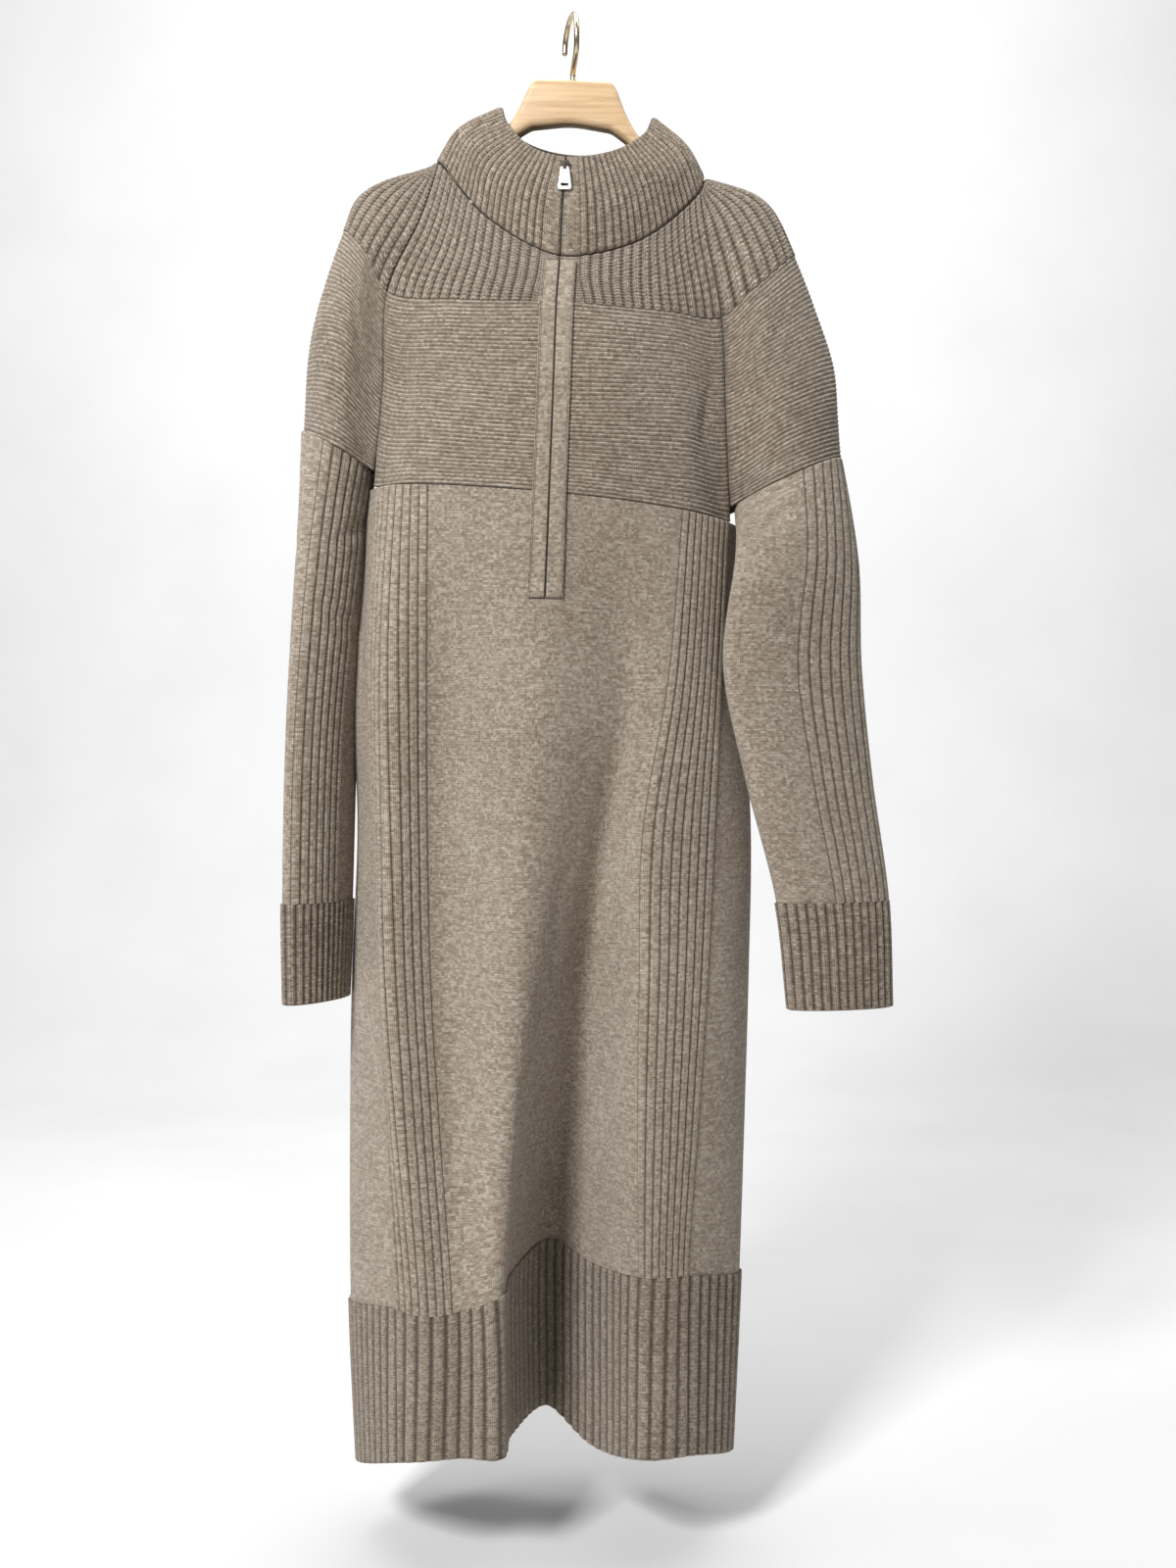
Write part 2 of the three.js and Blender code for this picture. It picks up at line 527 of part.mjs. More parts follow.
// A flat strip through a list of cross-sections of four corners each
function strip(sections) {
  const triangles = [];
  const quad = (a, b, c, d) => triangles.push([a, b, c], [a, c, d]);
  for (let i = 0; i + 1 < sections.length; i += 1) {
    const [here, next] = [sections[i], sections[i + 1]];
    for (let c = 0; c < 4; c += 1) quad(here[c], next[c], next[(c + 1) % 4], here[(c + 1) % 4]);
  }
  const last = sections[sections.length - 1];
  quad(...sections[0]);
  quad(last[3], last[2], last[1], last[0]);
  return solid(triangles);
}

// A strip that lies on the front, between two distances from the zip's line
function stripOnFront(from, to, thick, steps) {
  const sections = spread(PLACKET.top, PLACKET.bottom, steps).map((z) => {
    const corner = (distance, lift) => {
      const { point, normal } = frontAt(zipAt(z) + distance, z);
      return point.addScaledVector(normal, WALL / 2 + 2 * GAP + lift);
    };
    return [corner(from, 0), corner(from, thick), corner(to, thick), corner(to, 0)];
  });
  return strip(sections);
}

function makePlacketAndChain() {
  const reach = PLACKET.halfSlit + PLACKET.width;
  addPiece('placket_right', stripOnFront(PLACKET.halfSlit, reach, PLACKET.thick, 16), knit);
  addPiece('placket_left', stripOnFront(-reach, -PLACKET.halfSlit, PLACKET.thick, 16), knit);
  const half = CHAIN.width / 2;
  addPiece('zip_chain_front', stripOnFront(-half, half, CHAIN.thick, 16), gunmetal);
  const sections = spread(0.02, 1.96, 6).map((v) => {
    const centre = collarSurface(0, v);
    const normal = normalOf(collarSurface, 0, v, 0.05, -1);
    const side = new THREE.Vector3(half, 0, 0);
    const corner = (across, lift) => centre.clone().addScaledVector(side, across)
      .addScaledVector(normal, lift);
    const lift = CHAIN.thick / 2;
    return [corner(-1, -lift), corner(-1, lift), corner(1, lift), corner(1, -lift)];
  });
  addPiece('zip_chain_collar', strip(sections), gunmetal);
}

// A plate from its outline in x and z, with its back at a distance in front of the cloth
function plate(points, back, thick, holes = []) {
  const shape = new THREE.Shape(points.map(([x, z]) => new THREE.Vector2(x, z)));
  shape.holes = holes.map((hole) => new THREE.Path(hole.map(([x, z]) => new THREE.Vector2(x, z))));
  const geometry = new THREE.ExtrudeGeometry(shape, { depth: thick, bevelEnabled: false });
  return geometry.translate(0, 0, back).rotateX(Math.PI / 2);
}

// Joins closed geometries into one solid
function joined(...geometries) {
  const solids = geometries.map((geometry) => {
    geometry.deleteAttribute('normal');
    geometry.deleteAttribute('uv');
    const merged = mergeVertices(geometry);
    return new wasm.Manifold(new wasm.Mesh({
      numProp: 3, vertProperties: merged.attributes.position.array,
      triVerts: Uint32Array.from(merged.index.array),
    }));
  });
  const mesh = solids.reduce((whole, next) => whole.add(next)).getMesh();
  const geometry = new THREE.BufferGeometry();
  geometry.setAttribute('position', new THREE.BufferAttribute(mesh.vertProperties, 3));
  geometry.setIndex(new THREE.BufferAttribute(mesh.triVerts, 1));
  geometry.computeVertexNormals();
  return geometry;
}

const oblong = (halfWidth, low, high) =>
  [[-halfWidth, low], [halfWidth, low], [halfWidth, high], [-halfWidth, high]];

function makeSliderAndTab() {
  const group = new THREE.Group();
  group.position.set(SLIDER.x, SLIDER.y, SLIDER.z);
  group.rotation.x = THREE.MathUtils.degToRad(SLIDER.lean);
  dress.add(group);
  const half = SLIDER.height / 2;
  const body = [[-2.6, -half], [2.6, -half], [3.4, -1], [4.3, 2.5], [3.6, half], [0, half - 1.2],
    [-3.6, half], [-4.3, 2.5], [-3.4, -1]];
  const back = WALL / 2 + GAP;
  const face = back + SLIDER.thick;
  const pivot = { up: -half + 1.4, out: face + 1.1 };
  const lug = plate(oblong(SLIDER.lug / 2, pivot.up - 0.9, pivot.up + 0.9), face - 0.4, 2.3);
  addPiece('zip_slider', joined(plate(body, back, SLIDER.thick), lug), gunmetal, group);

  const tab = new THREE.Group();
  tab.position.set(0, -pivot.out, pivot.up);
  tab.rotation.x = THREE.MathUtils.degToRad(-TAB.lean - SLIDER.lean);
  group.add(tab);
  const fork = SLIDER.lug / 2 + GAP;
  const [top, bottom, low] = [TAB.top / 2, TAB.bottom / 2, -TAB.length];
  const outline = [[fork, 0.7], [top - 1, 0.7], [top, -0.6], [bottom, low + 1.5], [bottom - 1.5, low],
    [1.5 - bottom, low], [-bottom, low + 1.5], [-top, -0.6], [1 - top, 0.7], [-fork, 0.7],
    [-fork, -1.5], [fork, -1.5]];
  const { width, height } = TAB.window;
  const window = oblong(width / 2, low + 3.2, low + 3.2 + height);
  addPiece('zip_pull_tab', joined(plate(outline, -TAB.thick / 2, TAB.thick, [window])), silver, tab);
}

// The wooden hanger, its outline mirrored about the neck, turned a little about the rail
function makeHanger() {
  const hanger = new THREE.Group();
  hanger.rotation.y = THREE.MathUtils.degToRad(-HANGER.tilt);
  dress.add(hanger);
  const tops = HANGER_OUTLINE.map(({ x, top }) => [x, top]);
  const unders = HANGER_OUTLINE.map(({ x, under }) => [x, under]);
  const half = [...tops, ...unders.slice().reverse()];
  const outline = [...half, ...half.slice(1, -1).reverse().map(([x, z]) => [-x, z])];
  const shape = new THREE.Shape(outline.map(([x, z]) => new THREE.Vector2(x + HANGER.x, z)));
  const { thick, bevel } = HANGER;
  const geometry = new THREE.ExtrudeGeometry(shape, {
    depth: thick - 2 * bevel, bevelThickness: bevel, bevelSize: bevel, bevelOffset: -bevel, bevelSegments: 2,
  });
  geometry.translate(0, 0, bevel - thick / 2).rotateX(Math.PI / 2);
  addPiece('hanger_wood', geometry, wood, hanger);

  const radius = HOOK.crown + HOOK.wire;
  const turn = THREE.MathUtils.degToRad(HOOK.turn);
  const place = (side, z) => {
    const lean = HANGER.x * THREE.MathUtils.clamp((z + HOOK.crown) / (HANGER_OUTLINE[0].top + HOOK.crown), 0, 1);
    return new THREE.Vector3(lean + side * Math.sin(turn), -side * Math.cos(turn), z);
  };
  const top = HANGER_OUTLINE[0].top + GAP;
  const path = [place(0, top), place(0, top + 6)];
  for (let angle = -58; angle <= HOOK.tip; angle += 24) {
    const a = THREE.MathUtils.degToRad(angle);
    path.push(place(radius * Math.cos(a), HOOK.wire - radius + radius * Math.sin(a)));
  }
  const wire = new THREE.Shape().absarc(0, 0, HOOK.wire, 0, 2 * Math.PI);
  const hook = new THREE.ExtrudeGeometry(wire, {
    extrudePath: new THREE.CatmullRomCurve3(path, false, 'centripetal'), steps: 30, curveSegments: 5,
  });
  addPiece('hanger_hook', hook, gold, hanger);
}

makeCollar();
makeYoke();
makeSkirt();
makeSleeve('left', SLEEVE_LEFT, -1, SEAMS.sleeveLeft);
makeSleeve('right', SLEEVE_RIGHT, 1, SEAMS.sleeveRight);
makePlacketAndChain();
makeSliderAndTab();
makeHanger();

export default dress;
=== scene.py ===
"""A long knitted sweater dress on a wooden hanger, dressed over its solid frame."""

import logging
import math
from dataclasses import dataclass
from enum import Enum
from typing import Callable, Optional, Sequence

import bmesh
import bpy
import numpy as np
from mathutils import Matrix, Vector


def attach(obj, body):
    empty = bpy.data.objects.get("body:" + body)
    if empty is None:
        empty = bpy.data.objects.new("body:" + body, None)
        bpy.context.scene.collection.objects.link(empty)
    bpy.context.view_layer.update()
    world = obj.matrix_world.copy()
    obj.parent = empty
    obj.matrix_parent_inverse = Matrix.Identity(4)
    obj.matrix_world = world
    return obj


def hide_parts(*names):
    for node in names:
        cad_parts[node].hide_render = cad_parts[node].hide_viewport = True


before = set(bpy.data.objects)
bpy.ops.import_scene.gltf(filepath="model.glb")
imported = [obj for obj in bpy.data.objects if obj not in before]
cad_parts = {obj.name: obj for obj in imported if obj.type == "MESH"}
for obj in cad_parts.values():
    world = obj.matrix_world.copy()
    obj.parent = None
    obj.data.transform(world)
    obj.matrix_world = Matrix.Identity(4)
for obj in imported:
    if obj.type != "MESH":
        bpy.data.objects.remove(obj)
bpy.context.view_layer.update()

log = logging.getLogger("sweater_dress")

MM = 0.001
ROOT = "root"
WALL = 3.0 * MM
SEAM_GAP = 0.3 * MM
CLOSE_COLUMN = 0.12  # how far a band's neighbour column stands from it, in columns

YOKE_LEVELS = ("neck", "shoulder", "rib_end", "bust", "chest")
YOKE_LINES = {
    "zip": ((-9, -75, -243), (-11, -84, -266), (-12, -90, -288), (-15, -97, -377), (-18, -98, -455)),
    "front right": ((59, -60, -226), (64, -71, -256), (84, -74, -292), (95, -76, -375), (101, -72, -466)),
    "front raglan right": ((117, -15, -166), (122, -36, -211), (135, -50, -290), (139, -46, -375),
                           (144, -32, -464)),
    "cap front right": ((121, -6, -154), (147, -27, -190), (165, -54, -264), (187, -60, -352),
                        (199, -59, -431)),
    "cap outer right": ((122, 6, -147), (176, -2, -170), (203, -8, -222), (236, -16, -325),
                        (245, -14, -409)),
    "cap back right": ((119, 17, -148), (152, 22, -182), (178, 32, -245), (196, 34, -352), (200, 30, -430)),
    "back raglan right": ((113, 27, -155), (122, 42, -212), (136, 52, -285), (142, 44, -375),
                          (147, 22, -462)),
    "back right": ((62, 46, -166), (68, 60, -232), (80, 70, -292), (88, 75, -375), (90, 74, -465)),
    "back centre": ((-2, 52, -170), (-2, 68, -240), (-6, 76, -295), (-12, 81, -378), (-16, 82, -454)),
    "back left": ((-65, 46, -163), (-74, 60, -228), (-98, 70, -285), (-114, 75, -370), (-122, 72, -444)),
    "back raglan left": ((-114, 27, -147), (-136, 42, -198), (-160, 50, -262), (-170, 42, -350),
                         (-179, 24, -430)),
    "cap back left": ((-120, 17, -139), (-162, 20, -176), (-192, 24, -222), (-218, 26, -310),
                      (-228, 22, -397)),
    "cap outer left": ((-123, 6, -136), (-191, -2, -163), (-207, -8, -199), (-235, -20, -300),
                       (-241, -26, -389)),
    "cap front left": ((-123, -4, -136), (-156, -24, -178), (-186, -42, -227), (-203, -56, -310),
                       (-211, -60, -406)),
    "front raglan left": ((-120, -12, -138), (-136, -34, -197), (-164, -47, -266), (-168, -46, -350),
                          (-178, -33, -432)),
    "front left": ((-72, -58, -205), (-80, -70, -245), (-97, -76, -282), (-118, -78, -365),
                   (-136, -73, -443)),
}
COLLAR_LINES = (
    ((-4, -60, -150), (-7, -74, -196)), ((37, -47, -140), (52, -60, -184)),
    ((67, -20, -113), (99, -20, -132)), ((72, -10, -100), (103, -9, -122)),
    ((74, 1, -92), (104, 4, -117)), ((72, 11, -97), (101, 15, -119)),
    ((66, 20, -103), (94, 25, -126)), ((38, 31, -110), (50, 44, -138)),
    ((2, 35, -112), (-1, 50, -141)), ((-33, 31, -106), (-52, 44, -133)),
    ((-56, 20, -96), (-94, 25, -114)), ((-61, 11, -88), (-99, 15, -106)),
    ((-63, 1, -83), (-102, 5, -103)), ((-62, -9, -89), (-102, -7, -106)),
    ((-58, -19, -103), (-99, -15, -112)), ((-34, -46, -137), (-62, -58, -165)),
)
SKIRT_LEVELS = ("chest", "waist", "hip", "thigh", "knee", "rib_top", "hem")
SKIRT_LINES = {
    "left side": ((-186, 0), (-200, 5), (-197, 8), (-203, 12), (-205, 12), (-204, 10, -1184),
                  (-197, 8, -1333)),
    "left band edge": ((-174, -34), (-181, -38), (-176, -42), (-170, -52), (-162, -64), (-152, -82, -1165),
                       (-147, -90, -1297)),
    "left crest": ((-154, -60), (-160, -66), (-160, -70), (-160, -76), (-146, -86), (-126, -98, -1167),
                   (-122, -104, -1290)),
    "left dip": ((-112, -82), (-116, -54), (-116, -50), (-111, -56), (-104, -72), (-94, -94, -1164),
                 (-92, -100, -1289)),
    "middle crest": ((-32, -97), (-31, -97), (-38, -97), (-46, -99), (-56, -101), (-62, -103, -1150),
                     (-62, -104, -1289)),
    "behind the crest": ((2, -97), (10, -86), (-2, -78), (-19, -66), (-40, -54), (-56, -48, -1145),
                         (-56, -46, -1292)),
    "valley": ((36, -94), (48, -70), (30, -44), (12, -18), (-2, 10), (-20, 36, -1136), (-22, 40, -1297)),
    "right flank": ((66, -87), (64, -74), (48, -60), (40, -48), (26, -28), (20, -10, -1146),
                    (20, -6, -1316)),
    "right crest": ((101, -72), (88, -76), (66, -78), (64, -78), (64, -76), (66, -76, -1140),
                    (68, -78, -1300)),
    "right band edge": ((141, -34), (134, -44), (128, -48), (121, -54), (112, -58), (103, -64, -1142),
                        (104, -66, -1301)),
    "right side": ((152, 0), (158, 6), (166, 8), (164, 8), (160, 6), (155, 4, -1158), (147, 2, -1322)),
    "back right": ((124, 48), (136, 50), (140, 52), (138, 54), (132, 56), (126, 56, -1154),
                   (120, 56, -1318)),
    "back crest right": ((60, 78), (70, 84), (74, 90), (74, 96), (70, 100), (64, 104, -1146),
                         (60, 106, -1306)),
    "back dip": ((-16, 83), (-8, 77), (-4, 73), (-2, 71), (0, 73), (4, 77, -1142), (4, 79, -1302)),
    "back crest left": ((-92, 80), (-86, 88), (-86, 94), (-88, 98), (-92, 100), (-96, 100, -1152),
                        (-96, 98, -1310)),
    "back left": ((-156, 46), (-164, 50), (-168, 52), (-172, 54), (-174, 56), (-174, 56, -1174),
                  (-168, 54, -1326)),
}


@dataclass(frozen=True)
class Seam:
    """A seam's plane across the dress, in millimetres: its height where x is 0, and its slope."""

    z: float
    slope: float

    def height(self, x: np.ndarray) -> np.ndarray:
        """Height of the seam in metres at x in metres."""
        return self.z * MM + self.slope * x


BODY_SEAM = Seam(-456, -0.098)
LEFT_SLEEVE_SEAM = Seam(-522, -0.55)
RIGHT_SLEEVE_SEAM = Seam(-524, 0.469)
SKIRT_HEIGHTS = {"waist": -615, "hip": -750, "thigh": -885, "knee": -1015}


@dataclass(frozen=True)
class SleeveRow:
    """One section of a sleeve in millimetres: an ellipse, with its turn in plan in degrees."""

    z: float
    x: float
    y: float
    long: float
    short: float
    turn: float


LEFT_SLEEVE_ROWS = (
    SleeveRow(-405, -213, -14, 47, 28, 75), SleeveRow(-510, -217.5, -17, 50, 22, 67),
    SleeveRow(-660, -225.5, -27, 48, 17, 64), SleeveRow(-813, -228.5, -33, 47, 15.5, 64),
    SleeveRow(-902, -229.5, -35, 43, 14, 64),
)
RIGHT_SLEEVE_ROWS = (
    SleeveRow(-430, 197.5, -16, 47.5, 42, 20), SleeveRow(-500, 203, -42, 60, 27, 26),
    SleeveRow(-600, 199, -44, 67, 23, 22), SleeveRow(-700, 214, -38, 61, 21, 20),
    SleeveRow(-813, 236, -36, 53, 19, 18), SleeveRow(-909, 243, -36, 48, 17, 15),
)


def smooth_points(a: np.ndarray, b: np.ndarray, c: np.ndarray, d: np.ndarray, t: np.ndarray) -> np.ndarray:
    """Centripetal Catmull-Rom segments from b to c.

    Args:
        a: The points before b, with x, y and z last.
        b: The segments' starts.
        c: The segments' ends.
        d: The points after c.
        t: The shares of the way from b to c.

    Returns:
        The points at t.
    """
    def gap(p: np.ndarray, q: np.ndarray) -> np.ndarray:
        return np.maximum(np.sqrt(np.linalg.norm(q - p, axis=-1, keepdims=True)), 1e-5)

    before, here, after = gap(a, b), gap(b, c), gap(c, d)
    start = ((b - a) / before - (c - a) / (before + here) + (c - b) / here) * here
    end = ((c - b) / here - (d - b) / (here + after) + (d - c) / after) * here
    t = t[..., None]
    return (b * (2 * t**3 - 3 * t**2 + 1) + start * (t**3 - 2 * t**2 + t)
            + c * (3 * t**2 - 2 * t**3) + end * (t**3 - t**2))


def down_levels(levels: np.ndarray, v: np.ndarray) -> np.ndarray:
    """Points at v, counted in levels, on smooth open curves through levels[level, point]."""
    last = len(levels) - 1
    whole = np.concatenate([2 * levels[:1] - levels[1:2], levels, 2 * levels[-1:] - levels[-2:-1]])
    start = np.clip(np.floor(v).astype(int), 0, last - 1)
    at = np.arange(levels.shape[1])
    return smooth_points(whole[start, at], whole[start + 1, at], whole[start + 2, at], whole[start + 3, at],
                         v - start)


class Surface:
    """A cloth surface: u runs round the body, v runs down in levels."""

    u_step = 0.05
    v_step = 0.02
    outward = -1.0

    def points(self, u: np.ndarray, v: np.ndarray) -> np.ndarray:
        """Points in metres at matching lists of u and v."""
        raise NotImplementedError

    def normals(self, u: np.ndarray, v: np.ndarray) -> np.ndarray:
        """Unit normals out of the cloth."""
        across = self.points(u + self.u_step, v) - self.points(u - self.u_step, v)
        down = self.points(u, v + self.v_step) - self.points(u, v - self.v_step)
        normal = np.cross(across, down) * self.outward
        return normal / np.maximum(np.linalg.norm(normal, axis=-1, keepdims=True), 1e-12)


class LineSurface(Surface):
    """A surface through level curves, each closed round the body."""

    def __init__(self, levels: Sequence[Sequence[Sequence[float]]]) -> None:
        """Keeps the level curves, given in millimetres."""
        self.levels = np.array(levels, dtype=float) * MM

    def points(self, u: np.ndarray, v: np.ndarray) -> np.ndarray:
        """Points in metres at matching lists of u and v."""
        count = self.levels.shape[1]
        start = np.floor(u).astype(int)
        a, b, c, d = (self.levels[:, (start + i) % count] for i in (-1, 0, 1, 2))
        share = np.broadcast_to(u - start, a.shape[:2])
        return down_levels(smooth_points(a, b, c, d, share), v)


class SleeveSurface(Surface):
    """A sleeve below its cap: u from 0 to 1 runs from the inner side by the front to the outer side."""

    u_step = 0.005

    def __init__(self, rows: Sequence[SleeveRow], side: int) -> None:
        """Keeps the sections; side is -1 for the left sleeve and 1 for the right."""
        self.rows = rows
        self.side = side
        self.outward = -float(side)

    def points(self, u: np.ndarray, v: np.ndarray) -> np.ndarray:
        """Points in metres at matching lists of u and v."""
        angle = math.pi * (1 + 2 * u) if self.side > 0 else -2 * math.pi * u
        levels = []
        for row in self.rows:
            turn = math.radians(row.turn)
            along, across = row.long * np.cos(angle), row.short * np.sin(angle)
            levels.append(np.stack([
                row.x + along * math.cos(turn) - across * math.sin(turn),
                row.y + along * math.sin(turn) + across * math.cos(turn),
                np.full_like(angle, row.z)], -1) * MM)
        return down_levels(np.array(levels), v)


YOKE_SURFACE = LineSurface([[line[i] for line in YOKE_LINES.values()] for i in range(len(YOKE_LEVELS))])
COLLAR_SURFACE = LineSurface([[line[0] for line in COLLAR_LINES], [line[1] for line in COLLAR_LINES],
                              [line[0] for line in YOKE_LINES.values()]])


def skirt_point(level: str, place: tuple[float, ...]) -> tuple[float, ...]:
    """A skirt line's point in millimetres, its height from the level where it has none of its own."""
    if len(place) == 3:
        return place
    return (*place, SKIRT_HEIGHTS.get(level, BODY_SEAM.height(place[0] * MM) / MM))


SKIRT_SURFACE = LineSurface([[skirt_point(level, line[i]) for line in SKIRT_LINES.values()]
                             for i, level in enumerate(SKIRT_LEVELS)])


class RibForm(Enum):
    """How a rib's face rises across its width."""

    NONE = "none"
    NARROW = "narrow"
    WIDE = "wide"

    def rise(self, share: np.ndarray) -> np.ndarray:
        """Height from 0 in the groove to 1 on the rib, at shares of the rib's width."""
        if self is RibForm.NONE:
            return np.zeros_like(share)
        edge = np.abs(share - np.round(share))
        width = 0.19 if self is RibForm.NARROW else 0.12
        return 1 - np.exp(-(edge / width) ** 2)


@dataclass(frozen=True)
class Stretch:
    """A stretch of cloth between two places round the body, plain or ribbed."""

    start: float
    end: float
    ribs: int = 0
    form: RibForm = RibForm.NONE
    height: float = 0.0
    columns: int = 24


@dataclass(frozen=True)
class Crease:
    """A soft crease: ends as (u, v), its half width and its height in metres."""

    start: tuple[float, float]
    end: tuple[float, float]
    width: float
    height: float


@dataclass
class KnitPanel:
    """One knitted piece: a thin wall with its ribs, ridges, creases and rounded edges.

    Rows run down from top to bottom in levels, and columns run round in the stretches' order.
    """

    name: str
    node: str
    surface: Surface
    stretches: Sequence[Stretch]
    top: float
    bottom: float
    rows: int
    slot: str
    finish: "KnitFinish"
    flat: tuple[float, float]
    held_on: Sequence[str]
    top_height: Optional[Callable[[np.ndarray], np.ndarray]] = None
    bottom_height: Optional[Callable[[np.ndarray], np.ndarray]] = None
    top_direction: Optional[Callable[[np.ndarray], np.ndarray]] = None
    bottom_direction: Optional[Callable[[np.ndarray], np.ndarray]] = None
    roll: float = 1.6 * MM
    sewn_top: bool = True
    sewn_bottom: bool = True
    closed: bool = False
    ridges: int = 0
    ridge_height: float = 0.9 * MM
    creases: Sequence[Crease] = ()
    wall: float = WALL
    cols_per_rib: int = 8

    def column_shares(self) -> tuple[list[tuple[Stretch, np.ndarray]], np.ndarray, np.ndarray]:
        """Each stretch with the shares of its columns, then all columns' rib rise and relief, where low
        relief is painted darker as groove shade.

        Plain cloth has one column close beside each band of ribs, so that a groove stays narrow.
        """
        parts, rises, reliefs = [], [], []
        for index, stretch in enumerate(self.stretches):
            count = stretch.ribs * self.cols_per_rib if stretch.ribs else stretch.columns
            shares = np.arange(count) / count
            after_ribs = not stretch.ribs and index > 0
            before_ribs = not stretch.ribs and index < len(self.stretches) - 1
            if after_ribs:
                shares = np.insert(shares, 1, CLOSE_COLUMN / count)
            if before_ribs:
                shares = np.append(shares, 1 - CLOSE_COLUMN / count)
            if index == len(self.stretches) - 1 and not self.closed:
                shares = np.append(shares, 1.0)
            rise = stretch.form.rise(shares * max(stretch.ribs, 1))
            # Relief sets painted shade: rib grooves get low relief and are painted darker.
            relief = rise if stretch.ribs else np.ones_like(shares)
            # Painted shade: the plain column where a rib band ends is painted as dark as a groove.
            if after_ribs:
                relief[0] = 0.0
            parts.append((stretch, shares))
            rises.append(rise * stretch.height)
            reliefs.append(relief)
        return parts, np.concatenate(rises), np.concatenate(reliefs)

    def row_places(self) -> tuple[np.ndarray, np.ndarray]:
        """The rows' v values, closer at the edges, and how far each wall face stands at that row."""
        middle = 0.5 * (self.stretches[0].start + self.stretches[-1].end)
        ends = self.surface.points(np.array([middle, middle]), np.array([self.top, self.bottom]))
        length = max(float(np.linalg.norm(ends[1] - ends[0])), 0.02)
        edge = np.array([0.0, 0.2, 0.55, 1.0]) * self.roll / length
        inside = np.linspace(0, 1, self.rows)[1:-1]
        inside = inside[(inside > edge[-1] * 1.3) & (inside < 1 - edge[-1] * 1.3)]
        share = np.concatenate([edge, inside, 1 - edge[::-1]])
        depth = np.minimum(share, 1 - share) * length / self.roll
        fullness = np.sqrt(1 - (1 - np.clip(depth, 0, 1)) ** 2)
        if not self.sewn_top:
            fullness[share < 0.5] = 1.0
        if not self.sewn_bottom:
            fullness[share >= 0.5] = 1.0
        return self.top + (self.bottom - self.top) * share, 0.25 + 0.75 * fullness

    def u_grid(self, v: np.ndarray) -> np.ndarray:
        """The columns' u values on each row, even along the cloth within each stretch."""
        parts, _, _ = self.column_shares()
        steps = 48
        columns = []
        for index, (stretch, shares) in enumerate(parts):
            u = np.linspace(stretch.start, stretch.end, steps + 1)
            grid_u, grid_v = np.meshgrid(u, v)
            points = self.surface.points(grid_u.ravel(), grid_v.ravel()).reshape(len(v), steps + 1, 3)
            lengths = np.linalg.norm(np.diff(points, axis=1), axis=2)
            along = np.concatenate([np.zeros((len(v), 1)), np.cumsum(lengths, axis=1)], axis=1)
            inset = 0.0 if self.closed else SEAM_GAP / 2
            low = np.full(len(v), inset if index == 0 else 0.0)
            high = along[:, -1] - (inset if index == len(parts) - 1 else 0.0)
            targets = low[:, None] + shares[None] * (high - low)[:, None]
            columns.append(np.array([np.interp(t, a, u) for t, a in zip(targets, along)]))
        return np.concatenate(columns, axis=1)

    def wale_places(self, parts: Sequence[tuple[Stretch, np.ndarray]], widths: np.ndarray) -> np.ndarray:
        """Each column's place across the stitches, in metres, with whole wales in every rib."""
        places, at, column = [], 0.0, 0
        wale = self.finish.wale
        for stretch, shares in parts:
            width = float(widths[column:column + len(shares)].sum())
            if stretch.ribs:
                at = math.ceil(at / wale - 1e-6) * wale
                width = stretch.ribs * max(1, round(width / stretch.ribs / wale)) * wale
            places.append(at + shares * width)
            at += width
            column += len(shares)
        return np.concatenate(places)

    def crease_rise(self, u: np.ndarray, v: np.ndarray, scale_u: float, scale_v: float) -> np.ndarray:
        """Height of the listed creases, in metres, at a grid of u and v."""
        total = np.zeros_like(u)
        size = np.array([scale_u, scale_v])
        place = np.stack([u, v], -1) * size
        for crease in self.creases:
            start, end = np.array(crease.start) * size, np.array(crease.end) * size
            along = end - start
            share = np.clip(((place - start) @ along) / (along @ along), 0, 1)
            distance = np.linalg.norm(place - (start + share[..., None] * along), axis=-1)
            taper = np.clip(4 * share * (1 - share), 0, 1) ** 0.6
            total += crease.height * taper * np.exp(-(distance / crease.width) ** 2)
        return total

    def edge_normals(self, normals: np.ndarray, u: np.ndarray, down: np.ndarray) -> np.ndarray:
        """Turns the normals near the edges into the slant that each seam's two pieces share."""
        for edge, direction, height, away in ((0, self.top_direction, self.top_height, down),
                                              (-1, self.bottom_direction, self.bottom_height,
                                               down[-1] - down)):
            weight = np.exp(-(away / (8 * MM)) ** 2)[:, None, None]
            if direction:
                normals = normals * (1 - weight) + direction(u[edge])[None] * weight
            elif height:
                normals = normals * (1 - weight * (0.0, 0.0, 1.0))
        return normals / np.linalg.norm(normals, axis=-1, keepdims=True)

    def trim(self, face: np.ndarray, down: np.ndarray) -> None:
        """Slides a face's rows near its edges up or down so that the edges lie on their seams."""
        for edge, height, away in ((0, self.top_height, down), (-1, self.bottom_height, down[-1] - down)):
            if not height:
                continue
            shift = height(face[edge, :, 0]) - face[edge, :, 2]
            reach = min(3 * float(np.abs(shift).max()) + 8 * MM, down[-1])
            share = np.clip(1 - away / reach, 0, 1)
            face[:, :, 2] += (share**2 * (3 - 2 * share))[:, None] * shift[None]

